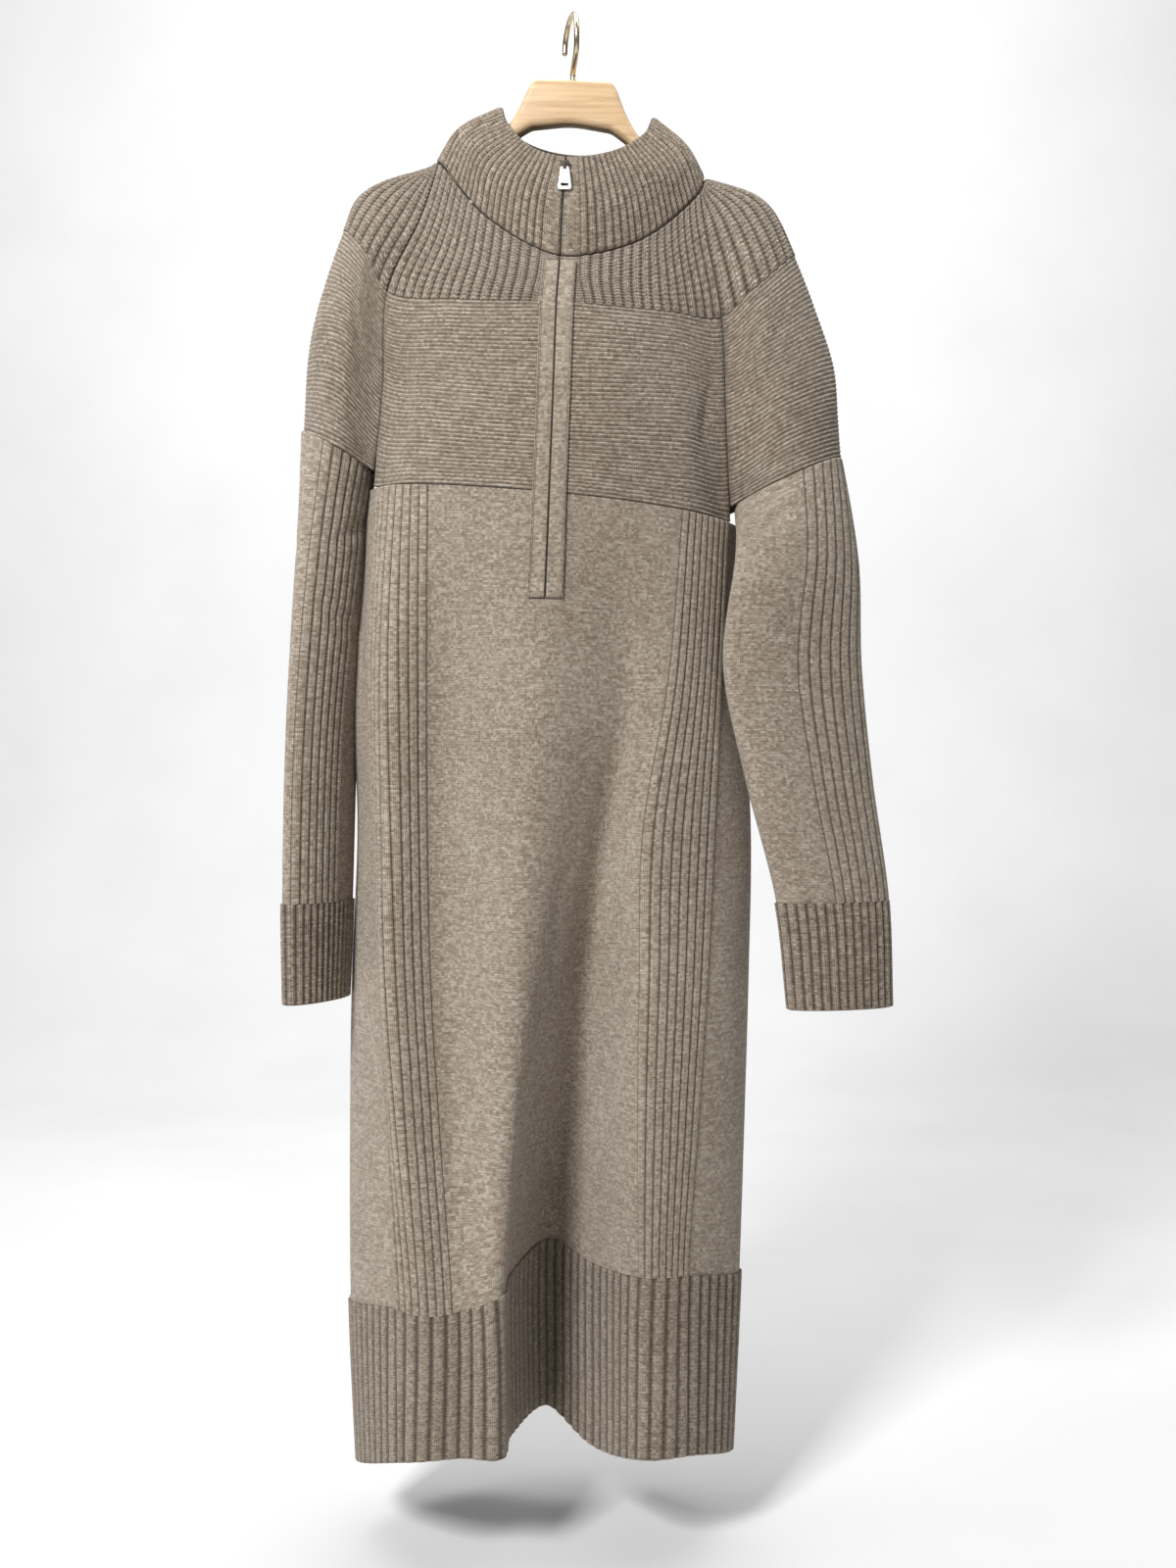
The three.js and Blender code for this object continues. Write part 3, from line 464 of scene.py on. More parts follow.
    def grids(self) -> tuple[np.ndarray, np.ndarray, np.ndarray, np.ndarray]:
        """The outer and inner faces, the cloth coordinates and the relief that sets the painted shade, as
        rows of columns.
        """
        v, fullness = self.row_places()
        u = self.u_grid(v)
        parts, rise, rib_relief = self.column_shares()
        grid_v = np.broadcast_to(v[:, None], u.shape)
        points = self.surface.points(u.ravel(), grid_v.ravel()).reshape(*u.shape, 3)
        normals = self.surface.normals(u.ravel(), grid_v.ravel()).reshape(*u.shape, 3)
        widths = np.linalg.norm(np.diff(points, axis=1), axis=2).mean(axis=0)
        across = np.concatenate([[0.0], np.cumsum(widths)])
        lengths = np.linalg.norm(np.diff(points, axis=0), axis=2).mean(axis=1)
        down = np.concatenate([[0.0], np.cumsum(lengths)])
        normals = self.edge_normals(normals, u, down)
        raised = np.broadcast_to(rise[None], u.shape).copy()
        relief = np.broadcast_to(rib_relief[None], u.shape).copy()
        if self.ridges:
            phase = down / down[-1] * self.ridges
            ridge = (0.5 - 0.5 * np.cos(2 * math.pi * phase)) ** 0.8
            raised += (self.ridge_height * ridge)[:, None]
            # Painted shade between the garter ridges: the relief follows the ridge height.
            relief = np.broadcast_to(ridge[:, None], u.shape).copy()
        sides = np.ones(u.shape[1])
        if not self.closed:
            sides[[0, -1]], sides[[1, -2]] = 0.3, 0.8
        # Painted shade at the rounded sewn edges and the open side edges: the relief falls with the wall's
        # fullness there.
        relief *= (fullness[:, None] - 0.25) / 0.75 * sides
        fullness = fullness[:, None] * (0.3 + 0.7 * sides)
        scale_u = across[-1] / (u[0, -1] - u[0, 0])
        scale_v = down[-1] / (self.bottom - self.top)
        folds = self.crease_rise(u, grid_v, scale_u, scale_v)
        outer_offset = (self.wall / 2 + raised) * fullness + folds
        inner_offset = -(self.wall / 2) * fullness + folds
        outer = points + normals * outer_offset[..., None]
        inner = points + normals * inner_offset[..., None]
        for face in (outer, inner):
            self.trim(face, down)
        courses = down / down[-1] * self.ridges * 2 * self.finish.course if self.ridges else down
        cloth = np.stack(np.broadcast_arrays(self.wale_places(parts, widths)[None, :], courses[:, None]), -1)
        return outer, inner, cloth, relief

    def build(self) -> bpy.types.Object:
        """Returns:
            The piece.
        """
        outer, inner, cloth, relief = self.grids()
        rows, cols = outer.shape[:2]
        index = np.arange(rows * cols).reshape(rows, cols)
        if self.closed:
            index = np.concatenate([index, index[:, :1]], axis=1)
        back = index + rows * cols
        quads = [
            np.stack([index[:-1, :-1], index[1:, :-1], index[1:, 1:], index[:-1, 1:]], -1).reshape(-1, 4),
            np.stack([back[:-1, :-1], back[:-1, 1:], back[1:, 1:], back[1:, :-1]], -1).reshape(-1, 4),
            np.stack([index[0, :-1], index[0, 1:], back[0, 1:], back[0, :-1]], -1),
            np.stack([index[-1, 1:], index[-1, :-1], back[-1, :-1], back[-1, 1:]], -1),
        ]
        if not self.closed:
            quads += [np.stack([index[1:, 0], index[:-1, 0], back[:-1, 0], back[1:, 0]], -1),
                      np.stack([index[:-1, -1], index[1:, -1], back[1:, -1], back[:-1, -1]], -1)]
        faces = np.concatenate(quads)
        if self.surface.outward > 0:
            faces = faces[:, ::-1]
        vertices = np.concatenate([outer.reshape(-1, 3), inner.reshape(-1, 3)])
        piece = mesh_object(self.name, vertices, faces.tolist())
        places = np.concatenate([cloth.reshape(-1, 2)] * 2)
        layer = piece.data.uv_layers.new(name="Cloth")
        loops = np.zeros(len(piece.data.loops), dtype=np.int32)
        piece.data.loops.foreach_get("vertex_index", loops)
        uv = places[loops]
        if self.closed:
            sides = uv.reshape(-1, 4, 2)
            span = cloth[0, -1, 0] * cols / (cols - 1)
            wide = np.ptp(sides[:, :, 0], axis=1) > span / 2
            near = sides[:, :, 0] < span / 2
            sides[:, :, 0] += (wide[:, None] & near) * span
        layer.uv.foreach_set("vector", uv.astype(np.float32).ravel())
        # The Relief attribute carries the painted shade; the inside face gets a fixed 0.6, painted a little
        # darker.
        shade = piece.data.attributes.new("Relief", "FLOAT", "POINT")
        shade.data.foreach_set("value", np.concatenate([relief.ravel(), np.full(relief.size, 0.6)])
                               .astype(np.float32))
        piece.data.materials.append(self.finish.material())
        dress_piece(piece, ROOT, self.slot, self.node)
        width, length = self.flat
        list(self.held_on)
        round_body = np.linalg.norm(np.diff(inner[rows // 2], axis=0), axis=1).sum()
        top_to_bottom = np.linalg.norm(np.diff(inner[:, cols // 2], axis=0), axis=1).sum()
        log.info("%s: %d faces, %.3f by %.3f m inside, declared %.3f by %.3f m", self.name, len(faces),
                 round_body, top_to_bottom, width, length)
        return piece


def mesh_object(name: str, vertices: Sequence, faces: Sequence, smooth: bool = True) -> bpy.types.Object:
    """Makes a mesh object from vertices in metres and faces.

    Args:
        name: The object's name.
        vertices: The points.
        faces: Lists of vertex numbers.
        smooth: Whether the faces are shaded smooth.

    Returns:
        The object, linked to the scene.
    """
    mesh = bpy.data.meshes.new(name)
    mesh.from_pydata([tuple(map(float, v)) for v in vertices], [], faces)
    mesh.validate()
    if smooth:
        mesh.shade_smooth()
    else:
        mesh.shade_flat()
    piece = bpy.data.objects.new(name, mesh)
    bpy.context.scene.collection.objects.link(piece)
    return piece


def dress_piece(piece: bpy.types.Object, body: str, slot: str, *nodes: str) -> None:
    """Makes a piece ride on a body and hides the nodes that it replaces."""
    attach(piece, body)
    if nodes:
        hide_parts(*nodes)


class Nodes:
    """Short ways to add shader nodes to one tree."""

    def __init__(self, tree: bpy.types.NodeTree) -> None:
        """Keeps the tree."""
        self.tree = tree

    def add(self, kind: str, **settings: object) -> bpy.types.Node:
        """Adds a node and sets its properties."""
        node = self.tree.nodes.new(kind)
        for key, value in settings.items():
            setattr(node, key, value)
        return node

    def link(self, source: bpy.types.NodeSocket, target: bpy.types.NodeSocket) -> None:
        """Links two sockets."""
        self.tree.links.new(source, target)

    def math(self, operation: str, first: object, second: object = None,
             third: object = None) -> bpy.types.NodeSocket:
        """Adds a math node; each input is a number or a socket."""
        node = self.add("ShaderNodeMath", operation=operation)
        for socket, value in zip(node.inputs, (first, second, third)):
            if isinstance(value, bpy.types.NodeSocket):
                self.link(value, socket)
            elif value is not None:
                socket.default_value = value
        return node.outputs[0]

    def mix(self, share: object, first: object, second: object, blend: str = "MIX") -> bpy.types.NodeSocket:
        """Mixes two colours; each input is a socket, a number or a colour."""
        node = self.add("ShaderNodeMix", data_type="RGBA", blend_type=blend)
        for socket, value in ((node.inputs[0], share), (node.inputs[6], first), (node.inputs[7], second)):
            if isinstance(value, bpy.types.NodeSocket):
                self.link(value, socket)
            else:
                socket.default_value = value
        return node.outputs[2]

    def noise(self, vector: bpy.types.NodeSocket, scale: float, detail: float = 2.0,
              rough: float = 0.5) -> bpy.types.NodeSocket:
        """Adds a noise texture and returns its value."""
        node = self.add("ShaderNodeTexNoise")
        self.link(vector, node.inputs["Vector"])
        node.inputs["Scale"].default_value = scale
        node.inputs["Detail"].default_value = detail
        node.inputs["Roughness"].default_value = rough
        return node.outputs["Fac"]

    def scaled(self, vector: bpy.types.NodeSocket, size: tuple[float, float, float]) -> bpy.types.NodeSocket:
        """Multiplies a vector by fixed sizes."""
        node = self.add("ShaderNodeVectorMath", operation="MULTIPLY")
        self.link(vector, node.inputs[0])
        node.inputs[1].default_value = size
        return node.outputs[0]

    def ramp(self, value: bpy.types.NodeSocket, stops: Sequence[tuple[float, tuple]]) -> bpy.types.NodeSocket:
        """Adds a colour ramp."""
        node = self.add("ShaderNodeValToRGB")
        elements = node.color_ramp.elements
        while len(elements) < len(stops):
            elements.new(0.5)
        for element, (place, colour) in zip(elements, stops):
            element.position = place
            element.color = (*colour[:3], 1.0)
        self.link(value, node.inputs[0])
        return node.outputs[0]


def new_group(name: str, inputs: Sequence[tuple[str, str, float]],
              outputs: Sequence[tuple[str, str]]) -> bpy.types.ShaderNodeTree:
    """Makes a shader group with named inputs and outputs.

    Args:
        name: The group's name.
        inputs: Each input's name, socket type and default number.
        outputs: Each output's name and socket type.

    Returns:
        The empty group.
    """
    group = bpy.data.node_groups.new(name, "ShaderNodeTree")
    for label, kind, value in inputs:
        socket = group.interface.new_socket(name=label, in_out="INPUT", socket_type=kind)
        if kind == "NodeSocketFloat":
            socket.default_value = value
    for label, kind in outputs:
        group.interface.new_socket(name=label, in_out="OUTPUT", socket_type=kind)
    return group


def stitch_group() -> bpy.types.ShaderNodeTree:
    """The knit stitches' height: columns of V-shaped loops in cloth coordinates."""
    name = "Knit stitches"
    if name in bpy.data.node_groups:
        return bpy.data.node_groups[name]
    group = new_group(name, [("Cloth", "NodeSocketVector", 0), ("Wale", "NodeSocketFloat", 0.0028),
                             ("Course", "NodeSocketFloat", 0.0021), ("Slant", "NodeSocketFloat", 0.7),
                             ("Break", "NodeSocketFloat", 0.32)],
                      [("Height", "NodeSocketFloat")])
    n = Nodes(group)
    source = n.add("NodeGroupInput").outputs
    target = n.add("NodeGroupOutput").inputs
    wobble = n.noise(source["Cloth"], 160.0, 1.0)
    parts = n.add("ShaderNodeSeparateXYZ")
    n.link(source["Cloth"], parts.inputs[0])
    x = n.math("DIVIDE", parts.outputs[0], source["Wale"])
    x = n.math("ADD", x, n.math("MULTIPLY", n.math("SUBTRACT", wobble, 0.5), 0.35))
    y = n.math("DIVIDE", parts.outputs[1], source["Course"])
    side = n.math("ABSOLUTE", n.math("SUBTRACT", n.math("FRACT", x), 0.5))
    slanted = n.math("ADD", y, n.math("MULTIPLY", n.math("MULTIPLY", side, 2.0), source["Slant"]))
    leg = n.math("SINE", n.math("MULTIPLY", side, 2 * math.pi))
    leg = n.math("POWER", n.math("MAXIMUM", leg, 0.0), 0.6)
    loop = n.math("COSINE", n.math("MULTIPLY", slanted, 2 * math.pi))
    loop = n.math("MULTIPLY_ADD", loop, source["Break"], n.math("SUBTRACT", 1.0, source["Break"]))
    n.link(n.math("MULTIPLY", leg, loop), target["Height"])
    return group


def heather_and_stitch_shade_group() -> bpy.types.ShaderNodeTree:
    """Wool heather: streaks along the courses, yarn slubs and fine fibres, as one colour, darkened by painted
    shade in the stitch hollows.
    """
    name = "Heathered wool"
    if name in bpy.data.node_groups:
        return bpy.data.node_groups[name]
    group = new_group(name, [("Cloth", "NodeSocketVector", 0), ("Place", "NodeSocketVector", 0),
                             ("Depth", "NodeSocketFloat", 1.0), ("Tone", "NodeSocketFloat", 0.5)],
                      [("Colour", "NodeSocketColor"), ("Fibre", "NodeSocketFloat")])
    n = Nodes(group)
    source = n.add("NodeGroupInput").outputs
    target = n.add("NodeGroupOutput").inputs
    streak = n.noise(n.scaled(source["Cloth"], (55.0, 460.0, 1.0)), 1.0, 4.0, 0.7)
    slub = n.noise(n.scaled(source["Cloth"], (300.0, 620.0, 1.0)), 1.0, 2.0, 0.6)
    fibre = n.noise(source["Place"], 2200.0, 2.0, 0.7)
    cloud = n.noise(source["Place"], 7.0, 2.0)
    stitch = n.add("ShaderNodeVectorMath", operation="FLOOR")
    n.link(n.scaled(source["Cloth"], (360.0, 480.0, 1.0)), stitch.inputs[0])
    fleck = n.add("ShaderNodeTexWhiteNoise", noise_dimensions="2D")
    n.link(stitch.outputs[0], fleck.inputs["Vector"])
    value = source["Tone"]
    for part, share in ((streak, 0.85), (slub, 0.6), (fibre, 0.65), (cloud, 0.25), (fleck.outputs[0], 0.36)):
        value = n.math("MULTIPLY_ADD", n.math("SUBTRACT", part, 0.5), share, value)
    colour = n.ramp(value, [(0.05, (0.115, 0.082, 0.056)), (0.38, (0.290, 0.228, 0.169)),
                            (0.62, (0.430, 0.358, 0.280)), (0.95, (0.690, 0.612, 0.515))])
    # Painted shade: the stitch height darkens the colour in the hollows between the loops.
    shade = n.math("MULTIPLY_ADD", source["Depth"], 0.62, 0.48)
    grey = n.add("ShaderNodeCombineColor")
    for socket in grey.inputs[:3]:
        n.link(shade, socket)
    n.link(n.mix(1.0, colour, grey.outputs[0], "MULTIPLY"), target["Colour"])
    n.link(fibre, target["Fibre"])
    return group


def new_material(name: str) -> tuple[bpy.types.Material, Nodes, bpy.types.Node]:
    """Makes a material and returns it with its nodes and its shader."""
    material = bpy.data.materials.new(name)
    material.use_nodes = True
    return material, Nodes(material.node_tree), material.node_tree.nodes["Principled BSDF"]


@dataclass(frozen=True)
class KnitFinish:
    """Wool heather in one stitch, with its stitch size in metres; its colour carries painted shade in the
    stitch hollows, rib grooves, between garter ridges and along sewn edges.
    """

    name: str
    wale: float
    course: float
    slant: float = 0.7
    depth: float = 0.55 * MM
    tone: float = 0.5
    # how strongly the painted groove shade darkens the colour
    groove: float = 1.0
    gap: float = 0.32

    def material(self) -> bpy.types.Material:
        """Returns the finish's material, built once."""
        if self.name in bpy.data.materials:
            return bpy.data.materials[self.name]
        material, n, shader = new_material(self.name)
        cloth = n.add("ShaderNodeUVMap", uv_map="Cloth").outputs[0]
        place = n.add("ShaderNodeTexCoord").outputs["Object"]
        stitches = n.add("ShaderNodeGroup", node_tree=stitch_group())
        n.link(cloth, stitches.inputs["Cloth"])
        for label, value in (("Wale", self.wale), ("Course", self.course), ("Slant", self.slant),
                             ("Break", self.gap)):
            stitches.inputs[label].default_value = value
        wool = n.add("ShaderNodeGroup", node_tree=heather_and_stitch_shade_group())
        n.link(cloth, wool.inputs["Cloth"])
        n.link(place, wool.inputs["Place"])
        n.link(stitches.outputs["Height"], wool.inputs["Depth"])
        wool.inputs["Tone"].default_value = self.tone
        # Painted shade: the Relief attribute darkens rib grooves, the hollows between garter ridges, the sewn
        # edges and the inside face.
        relief = n.add("ShaderNodeAttribute", attribute_name="Relief").outputs["Fac"]
        groove = n.ramp(relief, [(0.0, (0.20, 0.18, 0.16)), (0.35, (0.52, 0.49, 0.46)),
                                 (0.8, (1.0, 1.0, 1.0))])
        n.link(n.mix(self.groove, wool.outputs["Colour"], groove, "MULTIPLY"), shader.inputs["Base Color"])
        height = n.math("MULTIPLY_ADD", wool.outputs["Fibre"], 0.28, stitches.outputs["Height"])
        bump = n.add("ShaderNodeBump")
        bump.inputs["Strength"].default_value = 1.0
        bump.inputs["Distance"].default_value = self.depth
        n.link(height, bump.inputs["Height"])
        n.link(bump.outputs[0], shader.inputs["Normal"])
        shader.inputs["Roughness"].default_value = 0.96
        shader.inputs["Specular IOR Level"].default_value = 0.12
        shader.inputs["Sheen Weight"].default_value = 0.35
        shader.inputs["Sheen Roughness"].default_value = 0.6
        shader.inputs["Sheen Tint"].default_value = (0.86, 0.80, 0.72, 1.0)
        return material


PLAIN_KNIT = KnitFinish("wool_plain", 2.8 * MM, 2.2 * MM, tone=0.54)
RIB_KNIT = KnitFinish("wool_rib", 3.5 * MM, 2.9 * MM, depth=0.8 * MM, tone=0.44)
CHUNKY_RIB = KnitFinish("wool_chunky_rib", 4.6 * MM, 4.4 * MM, slant=0.45, depth=1.3 * MM,
                        tone=0.46, gap=0.45)
FINE_KNIT = KnitFinish("wool_fine", 1.6 * MM, 1.2 * MM, depth=0.3 * MM, tone=0.56)
GARTER_KNIT = KnitFinish("wool_garter", 3.2 * MM, 1.8 * MM, slant=0.25, tone=0.56, groove=0.85)


@dataclass(frozen=True)
class MetalFinish:
    """Polished or brushed metal with faint handling marks."""

    name: str
    colour: tuple[float, float, float]
    roughness: float

    def material(self) -> bpy.types.Material:
        """Returns the finish's material, built once."""
        if self.name in bpy.data.materials:
            return bpy.data.materials[self.name]
        material, n, shader = new_material(self.name)
        place = n.add("ShaderNodeTexCoord").outputs["Object"]
        marks = n.noise(n.scaled(place, (900.0, 900.0, 2400.0)), 1.0, 3.0)
        dull = tuple(c * 0.72 for c in self.colour)
        n.link(n.mix(n.math("MULTIPLY", marks, 0.6), (*self.colour, 1.0), (*dull, 1.0)),
               shader.inputs["Base Color"])
        n.link(n.math("MULTIPLY_ADD", marks, 0.22, self.roughness - 0.08), shader.inputs["Roughness"])
        shader.inputs["Metallic"].default_value = 1.0
        return material


@dataclass(frozen=True)
class WoodFinish:
    """Light beech under a satin lacquer, its grain along the hanger."""

    name: str

    def material(self) -> bpy.types.Material:
        """Returns the finish's material, built once."""
        if self.name in bpy.data.materials:
            return bpy.data.materials[self.name]
        material, n, shader = new_material(self.name)
        place = n.add("ShaderNodeTexCoord").outputs["Object"]
        bend = n.noise(n.scaled(place, (7.0, 30.0, 30.0)), 1.0, 2.0)
        grain_place = n.scaled(place, (9.0, 260.0, 260.0))
        grain = n.noise(grain_place, 1.0, 4.0, 0.65)
        fleck = n.noise(n.scaled(place, (160.0, 1500.0, 1500.0)), 1.0, 2.0)
        value = n.math("MULTIPLY_ADD", n.math("SUBTRACT", bend, 0.5), 0.5, grain)
        colour = n.ramp(value, [(0.25, (0.46, 0.29, 0.15)), (0.5, (0.60, 0.41, 0.23)),
                                (0.75, (0.70, 0.51, 0.31))])
        colour = n.mix(n.math("MULTIPLY", n.math("GREATER_THAN", fleck, 0.66), 0.35), colour,
                       (0.33, 0.20, 0.10, 1.0))
        n.link(colour, shader.inputs["Base Color"])
        bump = n.add("ShaderNodeBump")
        bump.inputs["Distance"].default_value = 0.08 * MM
        n.link(grain, bump.inputs["Height"])
        n.link(bump.outputs[0], shader.inputs["Normal"])
        n.link(n.math("MULTIPLY_ADD", grain, 0.12, 0.34), shader.inputs["Roughness"])
        shader.inputs["Coat Weight"].default_value = 0.25
        return material


HOOK_GOLD = MetalFinish("hook_gold", (0.78, 0.66, 0.44), 0.2)
TAB_NICKEL = MetalFinish("tab_nickel", (0.86, 0.86, 0.84), 0.42)
ZIP_METAL = MetalFinish("zip_gunmetal", (0.13, 0.115, 0.10), 0.38)
BEECH = WoodFinish("beech")


COLLAR_CREASES = (
    Crease((1.2, 0.3), (1.7, 1.5), 7 * MM, 1.6 * MM), Crease((14.2, 0.4), (14.9, 1.6), 8 * MM, 1.8 * MM),
    Crease((7.4, 0.4), (6.9, 1.5), 9 * MM, 1.5 * MM), Crease((9.8, 0.5), (10.4, 1.6), 7 * MM, -1.3 * MM),
)
YOKE_CREASES = (
    Crease((1.75, 2.5), (1.30, 3.5), 9 * MM, -2.2 * MM), Crease((0.90, 2.9), (1.15, 3.8), 13 * MM, 1.6 * MM),
    Crease((3.20, 2.4), (2.40, 3.4), 10 * MM, -2.6 * MM), Crease((4.20, 2.6), (3.60, 3.6), 12 * MM, 1.8 * MM),
    Crease((5.50, 2.3), (5.20, 3.5), 11 * MM, -2.4 * MM),
    Crease((6.60, 2.4), (7.10, 3.6), 12 * MM, -2.2 * MM),
    Crease((8.40, 2.5), (8.10, 3.7), 15 * MM, 2.0 * MM), Crease((9.50, 2.3), (9.10, 3.4), 10 * MM, -2.1 * MM),
    Crease((10.7, 2.4), (11.2, 3.5), 10 * MM, -2.5 * MM), Crease((12.3, 2.6), (12.7, 3.7), 12 * MM, 1.9 * MM),
    Crease((13.0, 2.3), (13.6, 3.3), 9 * MM, -2.4 * MM), Crease((14.3, 2.5), (14.7, 3.5), 9 * MM, -2.2 * MM),
    Crease((15.4, 2.9), (15.1, 3.8), 12 * MM, 1.5 * MM),
)
FRONT_CREASES = (
    Crease((0.35, 0.2), (0.70, 1.2), 9 * MM, -2.6 * MM), Crease((3.35, 0.4), (3.60, 2.3), 13 * MM, 2.2 * MM),
    Crease((2.95, 2.7), (3.20, 4.6), 10 * MM, -2.0 * MM),
    Crease((5.30, 0.9), (4.90, 3.3), 15 * MM, -2.6 * MM),
    Crease((6.80, 0.5), (7.20, 2.5), 11 * MM, 2.1 * MM), Crease((5.90, 2.9), (6.20, 4.7), 9 * MM, 1.8 * MM),
    Crease((9.40, 0.2), (9.75, 1.5), 10 * MM, -2.7 * MM), Crease((9.30, 2.4), (9.55, 4.2), 12 * MM, 2.0 * MM),
    Crease((4.10, 3.6), (4.30, 4.8), 8 * MM, 1.5 * MM),
)
BACK_CREASES = (
    Crease((10.4, 0.2), (10.2, 1.4), 9 * MM, -2.5 * MM), Crease((11.5, 0.5), (11.9, 2.4), 12 * MM, 2.4 * MM),
    Crease((12.6, 1.5), (12.9, 4.2), 14 * MM, -2.6 * MM), Crease((13.6, 0.5), (13.4, 2.9), 11 * MM, 2.2 * MM),
    Crease((14.5, 2.0), (14.3, 4.5), 13 * MM, -2.4 * MM), Crease((15.4, 0.2), (15.7, 1.3), 8 * MM, -2.4 * MM),
)
LEFT_SLEEVE_CREASES = (
    Crease((0.05, 0.3), (0.40, 0.9), 9 * MM, -2.2 * MM), Crease((0.10, 1.5), (0.45, 1.2), 8 * MM, -1.8 * MM),
    Crease((0.60, 0.8), (0.85, 1.4), 9 * MM, -2.4 * MM),
)
RIGHT_SLEEVE_CREASES = (
    Crease((0.02, 0.9), (0.22, 0.4), 9 * MM, -2.6 * MM), Crease((0.04, 1.6), (0.24, 2.3), 8 * MM, -2.0 * MM),
    Crease((0.62, 1.0), (0.90, 1.8), 9 * MM, -2.4 * MM),
)


def neck_direction(u: np.ndarray) -> np.ndarray:
    """The shared slant of the neck seam's two edges."""
    up = COLLAR_SURFACE.normals(u, np.full_like(u, 2.0))
    down = YOKE_SURFACE.normals(u, np.zeros_like(u))
    mean = up + down
    return mean / np.linalg.norm(mean, axis=-1, keepdims=True)


def seam_height(seam: Seam, side: int) -> Callable[[np.ndarray], np.ndarray]:
    """The height of one side of a seam: 1 is its upper piece, -1 its lower one."""
    return lambda x: seam.height(x) + side * SEAM_GAP / 2


@dataclass
class Collar:
    """The ribbed stand collar."""

    ribs: int = 80
    rib_height: float = 1.9 * MM
    slit: float = 0.012
    band: float = 0.25
    bottom: float = 1.988
    rows: int = 26

    def build(self) -> bpy.types.Object:
        """Builds the collar with its plain bands beside the zip."""
        return KnitPanel(
            "collar_knit", "collar", COLLAR_SURFACE,
            [Stretch(self.slit, self.band, columns=8),
             Stretch(self.band, 16 - self.band, self.ribs, RibForm.NARROW, self.rib_height),
             Stretch(16 - self.band, 16 - self.slit, columns=8)],
            0.0, self.bottom, self.rows, "rib_knit", RIB_KNIT, (0.55, 0.085), ["hanger_beech"],
            bottom_direction=neck_direction, creases=COLLAR_CREASES, roll=3.2 * MM,
        ).build()


PLACKET_WIDTH = 14.1
PLACKET_THICK = 2.2 * MM
PLACKET_TOP = -250.0
PLACKET_LENGTH = 296.0
HALF_SLIT = 0.5
ZIP_MARKS = ((-243, -9), (-288, -12), (-377, -15), (-455, -18), (-546, -22))


def zip_line(z: np.ndarray) -> np.ndarray:
    """The zip's x down the front, in millimetres, at heights in millimetres."""
    heights, places = zip(*reversed(ZIP_MARKS))
    return np.interp(z, heights, places)


def front_at(x: np.ndarray, z: np.ndarray) -> tuple[np.ndarray, np.ndarray]:
    """The front's points and normals at lists of x and z in metres, found by stepping on its surface."""
    on_yoke = z > BODY_SEAM.height(x)
    points, normals = np.zeros((len(x), 3)), np.zeros((len(x), 3))
    step = 0.01
    for surface, chosen, start in ((YOKE_SURFACE, on_yoke, (0.0, 2.5)),
                                   (SKIRT_SURFACE, ~on_yoke, (4.3, 0.3))):
        if not chosen.any():
            continue
        u, v = (np.full(int(chosen.sum()), value) for value in start)
        for _ in range(12):
            here = surface.points(u, v)
            by_u = (surface.points(u + step, v) - here) / step
            by_v = (surface.points(u, v + step) - here) / step
            area = by_u[:, 0] * by_v[:, 2] - by_v[:, 0] * by_u[:, 2]
            miss_x, miss_z = x[chosen] - here[:, 0], z[chosen] - here[:, 2]
            u = u + (miss_x * by_v[:, 2] - by_v[:, 0] * miss_z) / area
            v = v + (by_u[:, 0] * miss_z - miss_x * by_u[:, 2]) / area
        points[chosen] = surface.points(u, v)
        normals[chosen] = surface.normals(u, v)
    return points, normals


class FrontStrip(Surface):
    """A strip on the front: u is millimetres to the right of the zip, v millimetres down it."""

    u_step = 0.5
    v_step = 1.0

    def __init__(self, lift: float) -> None:
        """Keeps how far the strip's middle stands off the cloth's middle, in metres."""
        self.lift = lift

    def points(self, u: np.ndarray, v: np.ndarray) -> np.ndarray:
        """Points in metres at matching lists of u and v."""
        z = PLACKET_TOP - v
        points, normals = front_at((zip_line(z) + u) * MM, z * MM)
        return points + normals * self.lift


@dataclass
class Placket:
    """The two folded strips beside the zip, each with its stitched outer edge."""

    edge_width: float = 2.6
    edge_height: float = 0.9 * MM
    rows: int = 100

    def build(self) -> list[bpy.types.Object]:
        """Builds both strips."""
        surface = FrontStrip(WALL / 2 + 2 * SEAM_GAP + PLACKET_THICK / 2)
        reach = HALF_SLIT + PLACKET_WIDTH
        inner_edge = reach - self.edge_width
        pieces = []
        for name, stretches in (
            ("right", [Stretch(HALF_SLIT, inner_edge, columns=16),
                       Stretch(inner_edge, reach, 2, RibForm.NARROW, self.edge_height)]),
            ("left", [Stretch(-reach, -inner_edge, 2, RibForm.NARROW, self.edge_height),
                      Stretch(-inner_edge, -HALF_SLIT, columns=16)]),
        ):
            pieces.append(KnitPanel(
                f"placket_{name}_knit", f"placket_{name}", surface, stretches, 0.0, PLACKET_LENGTH,
                self.rows, "knit", FINE_KNIT, (0.0141, 0.299), ["front_skirt_knit"], wall=PLACKET_THICK,
            ).build())
        return pieces


